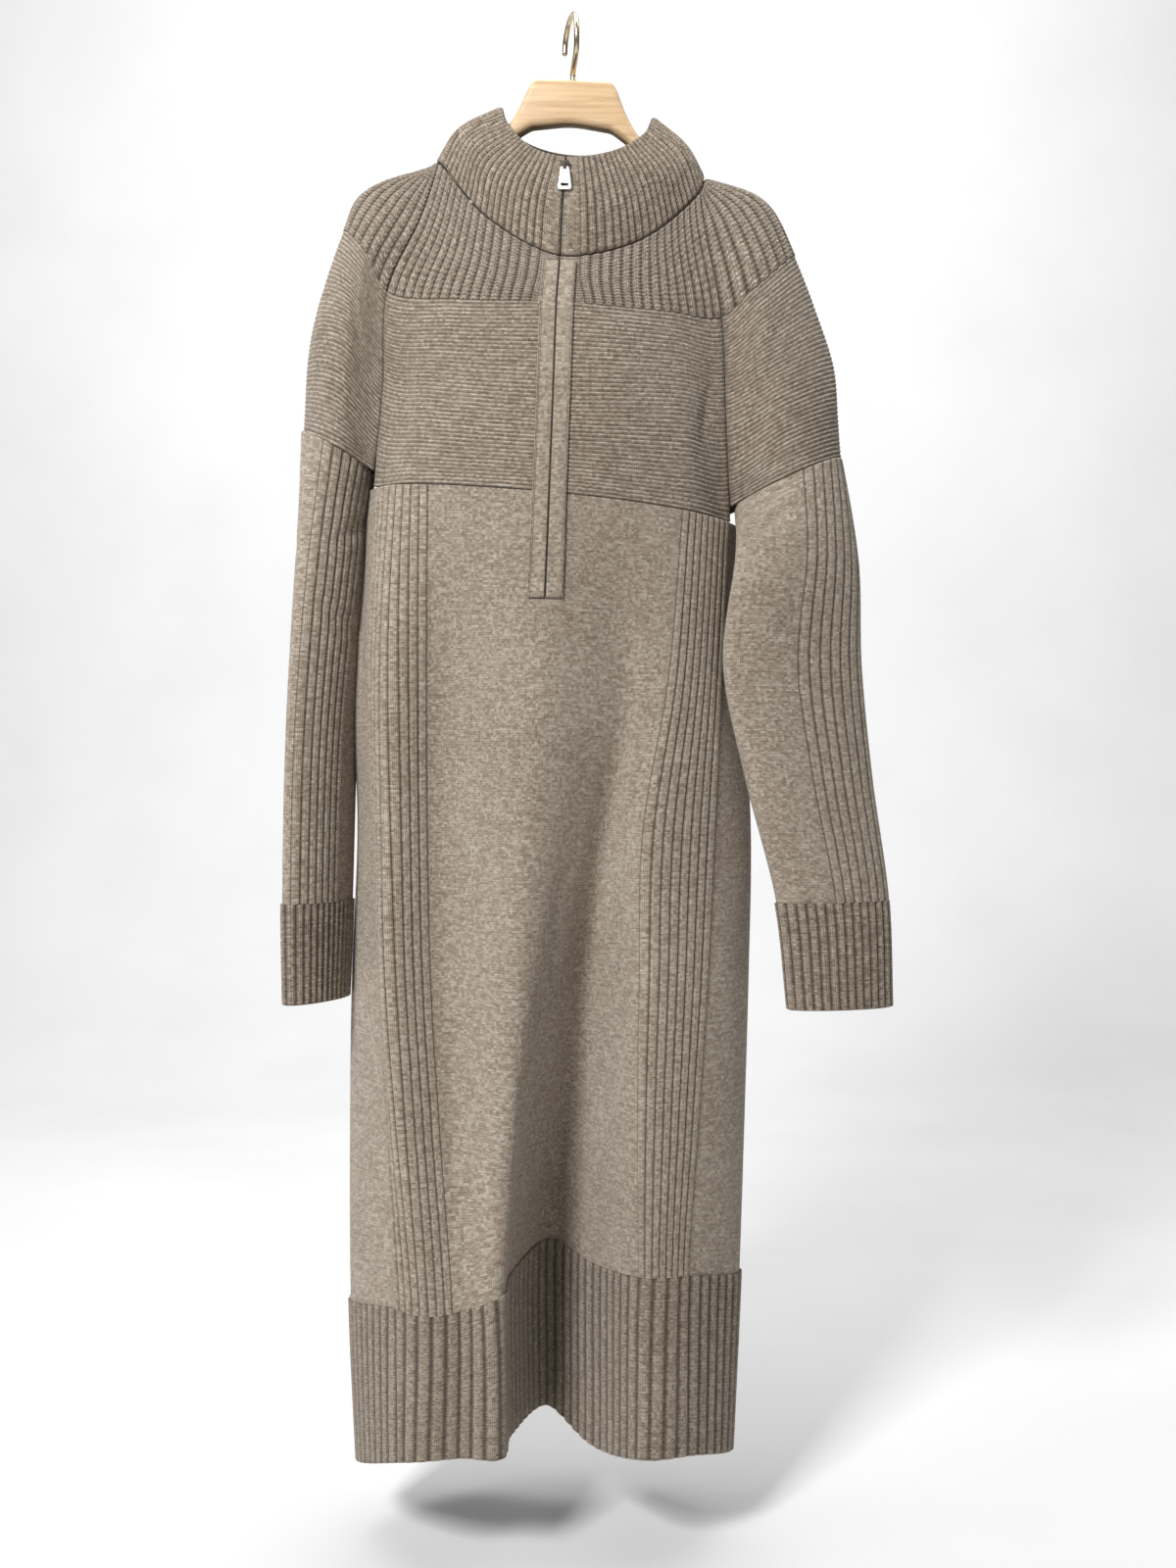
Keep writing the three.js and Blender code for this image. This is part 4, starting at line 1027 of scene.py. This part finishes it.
@dataclass
class ZipTeeth:
    """The closed zip: two rows of metal teeth that mesh, on their narrow tape."""

    pitch: float = 1.25
    tooth: tuple[float, float, float] = (0.75, 0.42, 0.6)
    shift: float = 0.4
    tape_half: float = 1.15
    tape_front: float = 0.05
    tape_back: float = -0.55
    collar_length: float = 95.0

    def tooth_shape(self) -> tuple[np.ndarray, list[tuple[int, ...]]]:
        """One tooth in millimetres, a block with a smaller front: its points and faces."""
        wide, tall, deep = self.tooth
        back = [(-wide, 0, -tall), (wide, 0, -tall), (wide, 0, tall), (-wide, 0, tall)]
        middle = [(x, -deep * 1.2, z) for x, _, z in back]
        front = [(x * 0.7, -deep * 2, z * 0.6) for x, _, z in back]
        faces = [(0, 3, 2, 1), (8, 9, 10, 11)]
        for low, high in ((0, 4), (4, 8)):
            faces += [(low + i, low + (i + 1) % 4, high + (i + 1) % 4, high + i) for i in range(4)]
        return np.array(back + middle + front), faces

    def row(self, name: str, node: str, points: np.ndarray, normals: np.ndarray) -> bpy.types.Object:
        """Builds one stretch of teeth down a line.

        Args:
            name: The piece's name.
            node: The frame's node that it replaces.
            points: Points down the zip's line, a pitch apart.
            normals: The cloth's normals there.

        Returns:
            The piece.
        """
        shape, shape_faces = self.tooth_shape()
        vertices, faces = [], []
        for index, (point, normal) in enumerate(zip(points, normals)):
            side = self.shift if index % 2 else -self.shift
            across = np.cross(normal, (0.0, 0.0, 1.0))
            across = -across / np.linalg.norm(across)
            up = np.cross(normal, across)
            up = up / np.linalg.norm(up) * np.sign(up[2] or 1.0)
            local = shape + (side, 0.0, 0.0)
            placed = point + MM * (local[:, :1] * across - local[:, 1:2] * normal + local[:, 2:] * up)
            faces += [tuple(len(vertices) + i for i in face) for face in shape_faces]
            vertices += placed.tolist()
        half, front, back = self.tape_half * MM, self.tape_front, self.tape_back
        first = len(vertices)
        for point, normal in zip(points, normals):
            for across, depth in ((-half, front), (half, front), (half, back), (-half, back)):
                vertices.append((point + normal * depth * MM + np.array([across, 0, 0])).tolist())
        for i in range(len(points) - 1):
            for c in range(4):
                a, b = first + 4 * i + c, first + 4 * i + (c + 1) % 4
                faces.append((a, b, b + 4, a + 4))
        faces += [(first, first + 3, first + 2, first + 1), tuple(len(vertices) - 4 + c for c in range(4))]
        piece = mesh_object(name, vertices, faces, smooth=False)
        fix_normals(piece)
        piece.data.materials.append(ZIP_METAL.material())
        dress_piece(piece, ROOT, "zip_metal", node)
        return piece

    def build(self) -> list[bpy.types.Object]:
        """Builds the teeth down the front and in the collar."""
        down = np.arange(0.0, PLACKET_LENGTH, self.pitch)
        z = PLACKET_TOP - down
        points, normals = front_at(zip_line(z) * MM, z * MM)
        points = points + normals * (WALL / 2 + 2.2 * SEAM_GAP)
        front = self.row("zip_teeth_front", "zip_chain_front", points, normals)
        v = np.linspace(0.03, 1.95, int(self.collar_length / self.pitch))
        u = np.zeros_like(v)
        normals = COLLAR_SURFACE.normals(u, v)
        points = COLLAR_SURFACE.points(u, v) - normals * 0.3 * MM
        return [front, self.row("zip_teeth_collar", "zip_chain_collar", points, normals)]


def fix_normals(piece: bpy.types.Object) -> None:
    """Turns a closed mesh's faces outward."""
    mesh = bmesh.new()
    mesh.from_mesh(piece.data)
    bmesh.ops.recalc_face_normals(mesh, faces=mesh.faces)
    mesh.to_mesh(piece.data)
    mesh.free()


def rounded_plate(name: str, outlines: Sequence[Sequence[tuple[float, float]]], thick: float, edge: float,
                  steps: int = 3) -> bpy.types.Object:
    """Makes a plate with rounded edges, its face towards -Y, its middle at y = 0.

    Args:
        name: The object's name.
        outlines: The outline and then its holes, as (x, z) in millimetres.
        thick: The plate's thickness in millimetres.
        edge: The edges' radius in millimetres.
        steps: How finely the edges are rounded.

    Returns:
        The plate.
    """
    curve = bpy.data.curves.new(name, "CURVE")
    curve.dimensions = "2D"
    curve.fill_mode = "BOTH"
    curve.extrude = (thick / 2 - edge) * MM
    curve.bevel_depth = edge * MM
    curve.bevel_resolution = steps
    curve.offset = -edge * MM
    for outline in outlines:
        spline = curve.splines.new("POLY")
        spline.points.add(len(outline) - 1)
        spline.points.foreach_set("co", [n for x, z in outline for n in (x * MM, z * MM, 0.0, 1.0)])
        spline.use_cyclic_u = True
    shaper = bpy.data.objects.new(name, curve)
    bpy.context.scene.collection.objects.link(shaper)
    bpy.context.view_layer.update()
    mesh = bpy.data.meshes.new_from_object(shaper.evaluated_get(bpy.context.evaluated_depsgraph_get()))
    bpy.data.objects.remove(shaper)
    bpy.data.curves.remove(curve)
    mesh.transform(Matrix.Rotation(math.pi / 2, 4, "X"))
    weld = bmesh.new()
    weld.from_mesh(mesh)
    bmesh.ops.remove_doubles(weld, verts=weld.verts, dist=1e-6)
    bmesh.ops.recalc_face_normals(weld, faces=weld.faces)
    weld.to_mesh(mesh)
    weld.free()
    piece = bpy.data.objects.new(name, mesh)
    bpy.context.scene.collection.objects.link(piece)
    mesh.shade_smooth()
    mesh.set_sharp_from_angle(angle=math.radians(38))
    return piece


def rounded_outline(corners: Sequence[tuple[float, float]], radius: float, steps: int = 4
                    ) -> list[tuple[float, float]]:
    """Rounds the corners of a closed outline in millimetres."""
    points = np.array(corners, dtype=float)
    result = []
    for before, here, after in zip(np.roll(points, 1, 0), points, np.roll(points, -1, 0)):
        first, second = before - here, after - here
        reach = min(radius, 0.45 * np.linalg.norm(first), 0.45 * np.linalg.norm(second))
        start = here + first / np.linalg.norm(first) * reach
        end = here + second / np.linalg.norm(second) * reach
        for t in np.linspace(0, 1, steps + 1):
            result.append(tuple((1 - t) ** 2 * start + 2 * t * (1 - t) * here + t**2 * end))
    return result


def oblong(half_width: float, low: float, high: float) -> list[tuple[float, float]]:
    """The corners of an upright rectangle, in millimetres."""
    return [(-half_width, low), (half_width, low), (half_width, high), (-half_width, high)]


@dataclass
class ZipSlider:
    """The slider near the collar's top and the pull tab that swings on its lug."""

    x: float = -5.0
    y: float = -64.6
    z: float = -162.0
    lean: float = -17.0
    height: float = 11.0
    thick: float = 3.4
    lug: float = 2.2
    tab_top: float = 8.0
    tab_bottom: float = 12.5
    tab_length: float = 21.0
    tab_thick: float = 1.6
    tab_lean: float = 10.0

    def build(self) -> list[bpy.types.Object]:
        """Builds the slider with its lug, and the tab with its window."""
        half = self.height / 2
        back = WALL / MM / 2 + SEAM_GAP / MM
        face = back + self.thick
        pivot_up, pivot_out = 1.4 - half, face + 1.1
        place = (Matrix.Translation(Vector((self.x, self.y, self.z)) * MM)
                 @ Matrix.Rotation(math.radians(self.lean), 4, "X"))

        body = [(-2.6, -half), (2.6, -half), (3.4, -1), (4.3, 2.5), (3.6, half), (0, half - 1.2),
                (-3.6, half), (-4.3, 2.5), (-3.4, -1)]
        slider = rounded_plate("zip_slider_body", [rounded_outline(body, 1.4)], self.thick, 0.7)
        slider.data.transform(Matrix.Translation((0, -(back + self.thick / 2) * MM, 0)))
        crown = rounded_plate("slider_crown", [rounded_outline(oblong(1.5, -0.6, half - 1.6), 1.0)], 1.2, 0.5)
        crown.data.transform(Matrix.Translation((0, -(face + 0.1) * MM, 0)))
        lug = rounded_plate("slider_lug", [rounded_outline(
            oblong(self.lug / 2, pivot_up - 0.9, pivot_up + 0.9), 0.5)], 2.3, 0.35)
        lug.data.transform(Matrix.Translation((0, -(face - 0.4 + 1.15) * MM, 0)))
        slider = joined(slider, crown, lug)
        slider.data.transform(place)
        slider.data.materials.clear()
        slider.data.materials.append(ZIP_METAL.material())
        dress_piece(slider, ROOT, "zip_metal", "zip_slider")

        fork = self.lug / 2 + SEAM_GAP / MM
        top, bottom, low = self.tab_top / 2, self.tab_bottom / 2, -self.tab_length
        outline = [(fork, 0.7), (top - 1, 0.7), (top, -0.6), (bottom, low + 1.5), (bottom - 1.5, low),
                   (1.5 - bottom, low), (-bottom, low + 1.5), (-top, -0.6), (1 - top, 0.7), (-fork, 0.7),
                   (-fork, -1.5), (fork, -1.5)]
        window = oblong(3.25, low + 3.2, low + 5.9)
        tab = rounded_plate("pull_tab_plate", [rounded_outline(outline, 0.6), rounded_outline(window, 0.7)],
                            self.tab_thick, 0.35)
        swing = (place @ Matrix.Translation(Vector((0, -pivot_out, pivot_up)) * MM)
                 @ Matrix.Rotation(math.radians(-self.tab_lean - self.lean), 4, "X"))
        tab.data.transform(swing)
        tab.data.materials.clear()
        tab.data.materials.append(TAB_NICKEL.material())
        dress_piece(tab, "pull_tab", "tab_metal", "zip_pull_tab")
        return [slider, tab]


def joined(first: bpy.types.Object, *others: bpy.types.Object) -> bpy.types.Object:
    """Joins objects into the first one's mesh."""
    mesh = bmesh.new()
    for piece in (first, *others):
        mesh.from_mesh(piece.data)
    mesh.to_mesh(first.data)
    mesh.free()
    for piece in others:
        bpy.data.objects.remove(piece)
    return first


@dataclass
class Hanger:
    """The wooden hanger with its bent hook."""

    outline: Sequence[tuple[float, float, float]] = (
        (0, -58, -98), (36, -58, -103), (41, -66, -106), (50, -88, -112), (61, -106, -122), (80, -125, -142),
        (110, -146, -167), (150, -166, -188), (178, -185, -206), (189, -197, -211))
    thick: float = 17.0
    edge: float = 5.5
    tilt: float = -2.2
    middle: float = 4.0
    wire: float = 2.6
    crown: float = 21.0
    turn: float = 14.0
    tip: float = 188.0

    def wood(self) -> bpy.types.Object:
        """Builds the wood, its outline mirrored about the neck."""
        tops = [(x, top) for x, top, _ in self.outline]
        unders = [(x, under) for x, _, under in self.outline]
        half = tops + unders[::-1]
        corners = half + [(-x, z) for x, z in half[1:-1][::-1]]
        rounded = rounded_outline([(x + self.middle, z) for x, z in corners], 12.0, 5)
        piece = rounded_plate("hanger_beech", [rounded], self.thick, self.edge, 5)
        piece.data.materials.append(BEECH.material())
        return piece

    def hook(self) -> bpy.types.Object:
        """Builds the hook: a round wire swept along its bend, with a rounded tip."""
        radius = self.crown + self.wire
        turn = math.radians(self.turn)
        base = self.outline[0][1]

        def place(side: float, z: float) -> Vector:
            lean = self.middle * min(max((z + self.crown) / (base + self.crown), 0), 1)
            return Vector((lean + side * math.sin(turn), -side * math.cos(turn), z))

        top = base + SEAM_GAP / MM
        path = [place(0, top), place(0, top + 6)]
        for angle in np.arange(-58, self.tip + 0.1, 24):
            a = math.radians(angle)
            path.append(place(radius * math.cos(a), self.wire - radius + radius * math.sin(a)))
        points = np.array(path)
        fine = []
        padded = np.concatenate([2 * points[:1] - points[1:2], points, 2 * points[-1:] - points[-2:-1]])
        for i in range(len(points) - 1):
            t = np.linspace(0, 1, 9)[:-1]
            a, b, c, d = (np.repeat(padded[i + k][None], len(t), 0) for k in range(4))
            fine.extend(smooth_points(a, b, c, d, t))
        fine.append(points[-1])
        line = np.array(fine)
        ahead = np.gradient(line, axis=0)
        ahead /= np.linalg.norm(ahead, axis=1, keepdims=True)
        side = np.array([math.cos(turn), math.sin(turn), 0.0])
        radii = np.full(len(line), self.wire)
        cap = ahead[-1] * self.wire
        rounds = np.linspace(0, math.pi / 2, 6)[1:]
        line = np.concatenate([line, line[-1] + np.outer(np.sin(rounds), cap) * 0.9])
        ahead = np.concatenate([ahead, np.repeat(ahead[-1:], 5, 0)])
        radii = np.concatenate([radii, np.maximum(np.cos(rounds), 0.02) * self.wire])
        sides = 20
        ring = np.linspace(0, 2 * math.pi, sides, endpoint=False)
        vertices = []
        for point, way, size in zip(line, ahead, radii):
            other = np.cross(way, side)
            vertices += [(point + size * (math.cos(a) * side + math.sin(a) * other)) * MM for a in ring]
        faces = [(i * sides + j, i * sides + (j + 1) % sides, (i + 1) * sides + (j + 1) % sides,
                  (i + 1) * sides + j) for i in range(len(line) - 1) for j in range(sides)]
        faces += [tuple(range(sides)), tuple(range(len(vertices) - sides, len(vertices)))]
        piece = mesh_object("hanger_wire_hook", vertices, faces)
        fix_normals(piece)
        piece.data.materials.append(HOOK_GOLD.material())
        return piece

    def build(self) -> list[bpy.types.Object]:
        """Builds the hanger, turned a little about the rail."""
        turn = Matrix.Rotation(math.radians(-self.tilt), 4, "Y")
        wood, hook = self.wood(), self.hook()
        for piece, slot, node in ((wood, "hanger_wood", "hanger_wood"), (hook, "hook_metal", "hanger_hook")):
            piece.data.transform(turn)
            dress_piece(piece, ROOT, slot, node)
        return [wood, hook]


@dataclass(frozen=True)
class YokePanel:
    """One panel of the yoke between two raglan lines, ribbed above and garter stitch below."""

    name: str
    side: str
    start: float
    end: float
    ribs: int
    seam: Seam
    rib_flat: tuple[float, float]
    garter_flat: tuple[float, float]


@dataclass
class Yoke:
    """Front, back and sleeve caps above the chest."""

    rib_height: float = 1.8 * MM
    under_placket: float = 0.25
    ridges: int = 46
    garter_columns: int = 20
    rows_per_ridge: int = 4
    rib_rows: int = 30
    neck_level: float = 0.012
    panels: Sequence[YokePanel] = (
        YokePanel("front_yoke", "_right", 0, 2, 15, BODY_SEAM, (0.158, 0.085), (0.168, 0.172)),
        YokePanel("cap", "_right", 2, 6, 15, RIGHT_SLEEVE_SEAM, (0.158, 0.12), (0.265, 0.18)),
        YokePanel("back_yoke", "", 6, 10, 26, BODY_SEAM, (0.285, 0.125), (0.34, 0.168)),
        YokePanel("cap", "_left", 10, 14, 15, LEFT_SLEEVE_SEAM, (0.145, 0.118), (0.225, 0.18)),
        YokePanel("front_yoke", "_left", 14, 16, 15, BODY_SEAM, (0.162, 0.092), (0.172, 0.167)),
    )

    def stretches(self, panel: YokePanel, ribbed: bool) -> list[Stretch]:
        """The panel's stretches, with plain cloth where a placket strip lies on it."""
        start = self.under_placket if panel.start == 0 else panel.start
        end = 16 - self.under_placket if panel.end == 16 else panel.end
        parts = []
        if start != panel.start:
            parts.append(Stretch(panel.start, start, columns=5))
        if ribbed:
            parts.append(Stretch(start, end, panel.ribs, RibForm.NARROW, self.rib_height))
        else:
            parts.append(Stretch(start, end, columns=int((end - start) * self.garter_columns)))
        if end != panel.end:
            parts.append(Stretch(end, panel.end, columns=5))
        return parts

    def build(self) -> list[bpy.types.Object]:
        """Builds every yoke piece."""
        pieces = []
        for panel in self.panels:
            node = f"{panel.name}_rib{panel.side}"
            pieces.append(KnitPanel(
                f"{node}_knit", node, YOKE_SURFACE, self.stretches(panel, True),
                self.neck_level, 2.0, self.rib_rows, "rib_knit", CHUNKY_RIB, panel.rib_flat,
                ["hanger_beech"], top_direction=neck_direction, sewn_bottom=False, roll=2.6 * MM,
            ).build())
            node = f"{panel.name}_garter{panel.side}"
            pieces.append(KnitPanel(
                f"{node}_knit", node, YOKE_SURFACE, self.stretches(panel, False), 2.0, 4.0,
                self.ridges * self.rows_per_ridge, "knit", GARTER_KNIT, panel.garter_flat, ["hanger_beech"],
                bottom_height=seam_height(panel.seam, 1), ridges=self.ridges, creases=YOKE_CREASES,
                sewn_top=False,
            ).build())
        return pieces


@dataclass
class Skirt:
    """The long front and back below the chest, with their rib bands and hem ribs."""

    rib_height: float = 1.8 * MM
    hem_rib_height: float = 1.9 * MM
    band_ribs: int = 8
    rows: int = 116
    hem_rows: int = 34

    def stretches(self, start: float, end: float, bands: Sequence[tuple[float, float]]) -> list[Stretch]:
        """Plain and ribbed stretches in order."""
        parts, at = [], start
        for low, high in bands:
            parts.append(Stretch(at, low, columns=max(4, int((low - at) * 10))))
            parts.append(Stretch(low, high, self.band_ribs, RibForm.WIDE, self.rib_height))
            at = high
        parts.append(Stretch(at, end, columns=max(4, int((end - at) * 10))))
        return parts

    def build(self) -> list[bpy.types.Object]:
        """Builds the skirt's and the hem's front and back."""
        pieces = []
        sides = (
            ("front", 0.0, 10.0, ((1.0, 2.75), (7.9, 9.0)), 52, (0.53, 0.70), (0.62, 0.158), FRONT_CREASES),
            ("back", 10.0, 16.0, ((11.0, 12.0), (14.0, 15.0)), 50, (0.445, 0.70), (0.455, 0.16),
             BACK_CREASES))
        for name, start, end, bands, hem_ribs, flat, hem_flat, creases in sides:
            pieces.append(KnitPanel(
                f"{name}_skirt_knit", f"{name}_skirt", SKIRT_SURFACE, self.stretches(start, end, bands),
                0.0, 5.0, self.rows, "knit", PLAIN_KNIT, flat, ["hanger_beech"],
                top_height=seam_height(BODY_SEAM, -1), creases=creases, sewn_bottom=False,
            ).build())
            pieces.append(KnitPanel(
                f"{name}_hem_knit", f"{name}_hem", SKIRT_SURFACE,
                [Stretch(start, end, hem_ribs, RibForm.NARROW, self.hem_rib_height)],
                5.0, 6.0, self.hem_rows, "rib_knit", RIB_KNIT, hem_flat, ["hanger_beech"], sewn_top=False,
            ).build())
        return pieces


@dataclass
class Sleeve:
    """One sleeve below its cap, and its cuff."""

    name: str
    side: int
    rows: Sequence[SleeveRow]
    seam: Seam
    creases: Sequence[Crease]
    flat: tuple[float, float]
    cuff_flat: tuple[float, float]
    band: tuple[float, float] = (0.23, 0.47)
    band_ribs: int = 7
    cuff_ribs: int = 28
    sleeve_rows: int = 90
    cuff_rows: int = 24
    band_height: float = 1.8 * MM
    cuff_rib_height: float = 1.9 * MM

    def build(self) -> list[bpy.types.Object]:
        """Builds the sleeve and its cuff."""
        surface = SleeveSurface(self.rows, self.side)
        cuff = len(self.rows) - 2
        low, high = self.band
        sleeve = KnitPanel(
            f"sleeve_{self.name}_knit", f"sleeve_{self.name}", surface,
            [Stretch(0.0, low, columns=20),
             Stretch(low, high, self.band_ribs, RibForm.WIDE, self.band_height),
             Stretch(high, 1.0, columns=36)],
            0.0, float(cuff), self.sleeve_rows, "knit", PLAIN_KNIT, self.flat, ["hanger_beech"],
            top_height=seam_height(self.seam, -1),
            closed=True, creases=self.creases, sewn_bottom=False,
        ).build()
        wrist = KnitPanel(
            f"cuff_{self.name}_knit", f"cuff_{self.name}", surface,
            [Stretch(0.0, 1.0, self.cuff_ribs, RibForm.NARROW, self.cuff_rib_height)],
            float(cuff), cuff + 1.0, self.cuff_rows, "rib_knit", RIB_KNIT, self.cuff_flat, ["hanger_beech"],
            closed=True, sewn_top=False,
        ).build()
        return [sleeve, wrist]


@dataclass
class Studio:
    """Plain floor, soft light and the camera at the photograph's view."""

    distance: float = 1.5
    camera_x: float = 0.0154
    camera_z: float = -0.707
    focal_px: float = 1655.0
    image_height: float = 1600.0
    floor_z: float = -1.40

    def camera(self) -> None:
        """Makes the camera."""
        data = bpy.data.cameras.new("camera")
        data.sensor_fit = "VERTICAL"
        data.sensor_height = 24.0
        data.lens = self.focal_px / self.image_height * data.sensor_height
        data.clip_end = 30.0
        camera = bpy.data.objects.new("camera", data)
        camera.location = (self.camera_x, -self.distance, self.camera_z)
        camera.rotation_euler = (math.pi / 2, 0.0, 0.0)
        bpy.context.scene.collection.objects.link(camera)
        bpy.context.scene.camera = camera

    def light(self, name: str, place: Vector, target: Vector, size: float, power: float) -> None:
        """Makes one square area light that looks at a target."""
        data = bpy.data.lights.new(name, "AREA")
        data.size = size
        data.energy = power
        lamp = bpy.data.objects.new(name, data)
        lamp.location = place
        lamp.rotation_euler = (target - place).to_track_quat("-Z", "Y").to_euler()
        bpy.context.scene.collection.objects.link(lamp)

    def backdrop_material(self) -> bpy.types.Material:
        """Pale paper with a faint unevenness."""
        material, n, shader = new_material("pale_paper")
        place = n.add("ShaderNodeTexCoord").outputs["Object"]
        mottle = n.noise(place, 3.0, 2.0)
        n.link(n.ramp(mottle, [(0.3, (0.86, 0.86, 0.86)), (0.7, (0.90, 0.90, 0.90))]),
               shader.inputs["Base Color"])
        shader.inputs["Roughness"].default_value = 0.9
        return material

    def build(self) -> None:
        """Makes the floor, the wash of light and the world."""
        half, back, rise = 6.0, 3.2, 4.0
        profile = [(-4.0, self.floor_z)]
        for step in range(9):
            angle = math.radians(step * 90 / 8)
            profile.append((back - 1.2 + 1.2 * math.sin(angle), self.floor_z + 1.2 - 1.2 * math.cos(angle)))
        profile.append((back, self.floor_z + rise + 2.0))
        vertices = [(x, y, z) for y, z in profile for x in (-half, half)]
        faces = [(2 * i, 2 * i + 1, 2 * i + 3, 2 * i + 2) for i in range(len(profile) - 1)]
        floor = mesh_object("studio_floor", vertices, faces)
        floor.data.materials.append(self.backdrop_material())
        middle = Vector((0.0, 0.0, -0.65))
        self.light("key", Vector((-1.05, -2.1, 0.75)), middle, 0.6, 80.0)
        self.light("fill", Vector((1.6, -2.4, 0.3)), middle, 2.2, 3.0)
        self.light("wall", Vector((0.0, 0.6, 1.8)), Vector((0.0, 3.2, -0.4)), 3.0, 90.0)
        world = bpy.data.worlds.new("studio_world")
        world.use_nodes = True
        background = world.node_tree.nodes["Background"]
        background.inputs[0].default_value = (0.93, 0.95, 1.0, 1.0)
        background.inputs[1].default_value = 0.12
        bpy.context.scene.world = world
        bpy.context.scene.view_settings.view_transform = "Standard"


def main() -> None:
    """Builds the studio, the dress and the hanger in order."""
    logging.basicConfig(level=logging.INFO, format="%(message)s")
    studio = Studio()
    studio.camera()
    studio.build()
    Collar().build()
    Yoke().build()
    Skirt().build()
    Sleeve("left", -1, LEFT_SLEEVE_ROWS, LEFT_SLEEVE_SEAM, LEFT_SLEEVE_CREASES,
           (0.225, 0.405), (0.20, 0.09)).build()
    Sleeve("right", 1, RIGHT_SLEEVE_ROWS, RIGHT_SLEEVE_SEAM, RIGHT_SLEEVE_CREASES,
           (0.272, 0.392), (0.226, 0.096)).build()
    Placket().build()
    ZipTeeth().build()
    ZipSlider().build()
    Hanger().build()


if __name__ == "__main__":
    main()
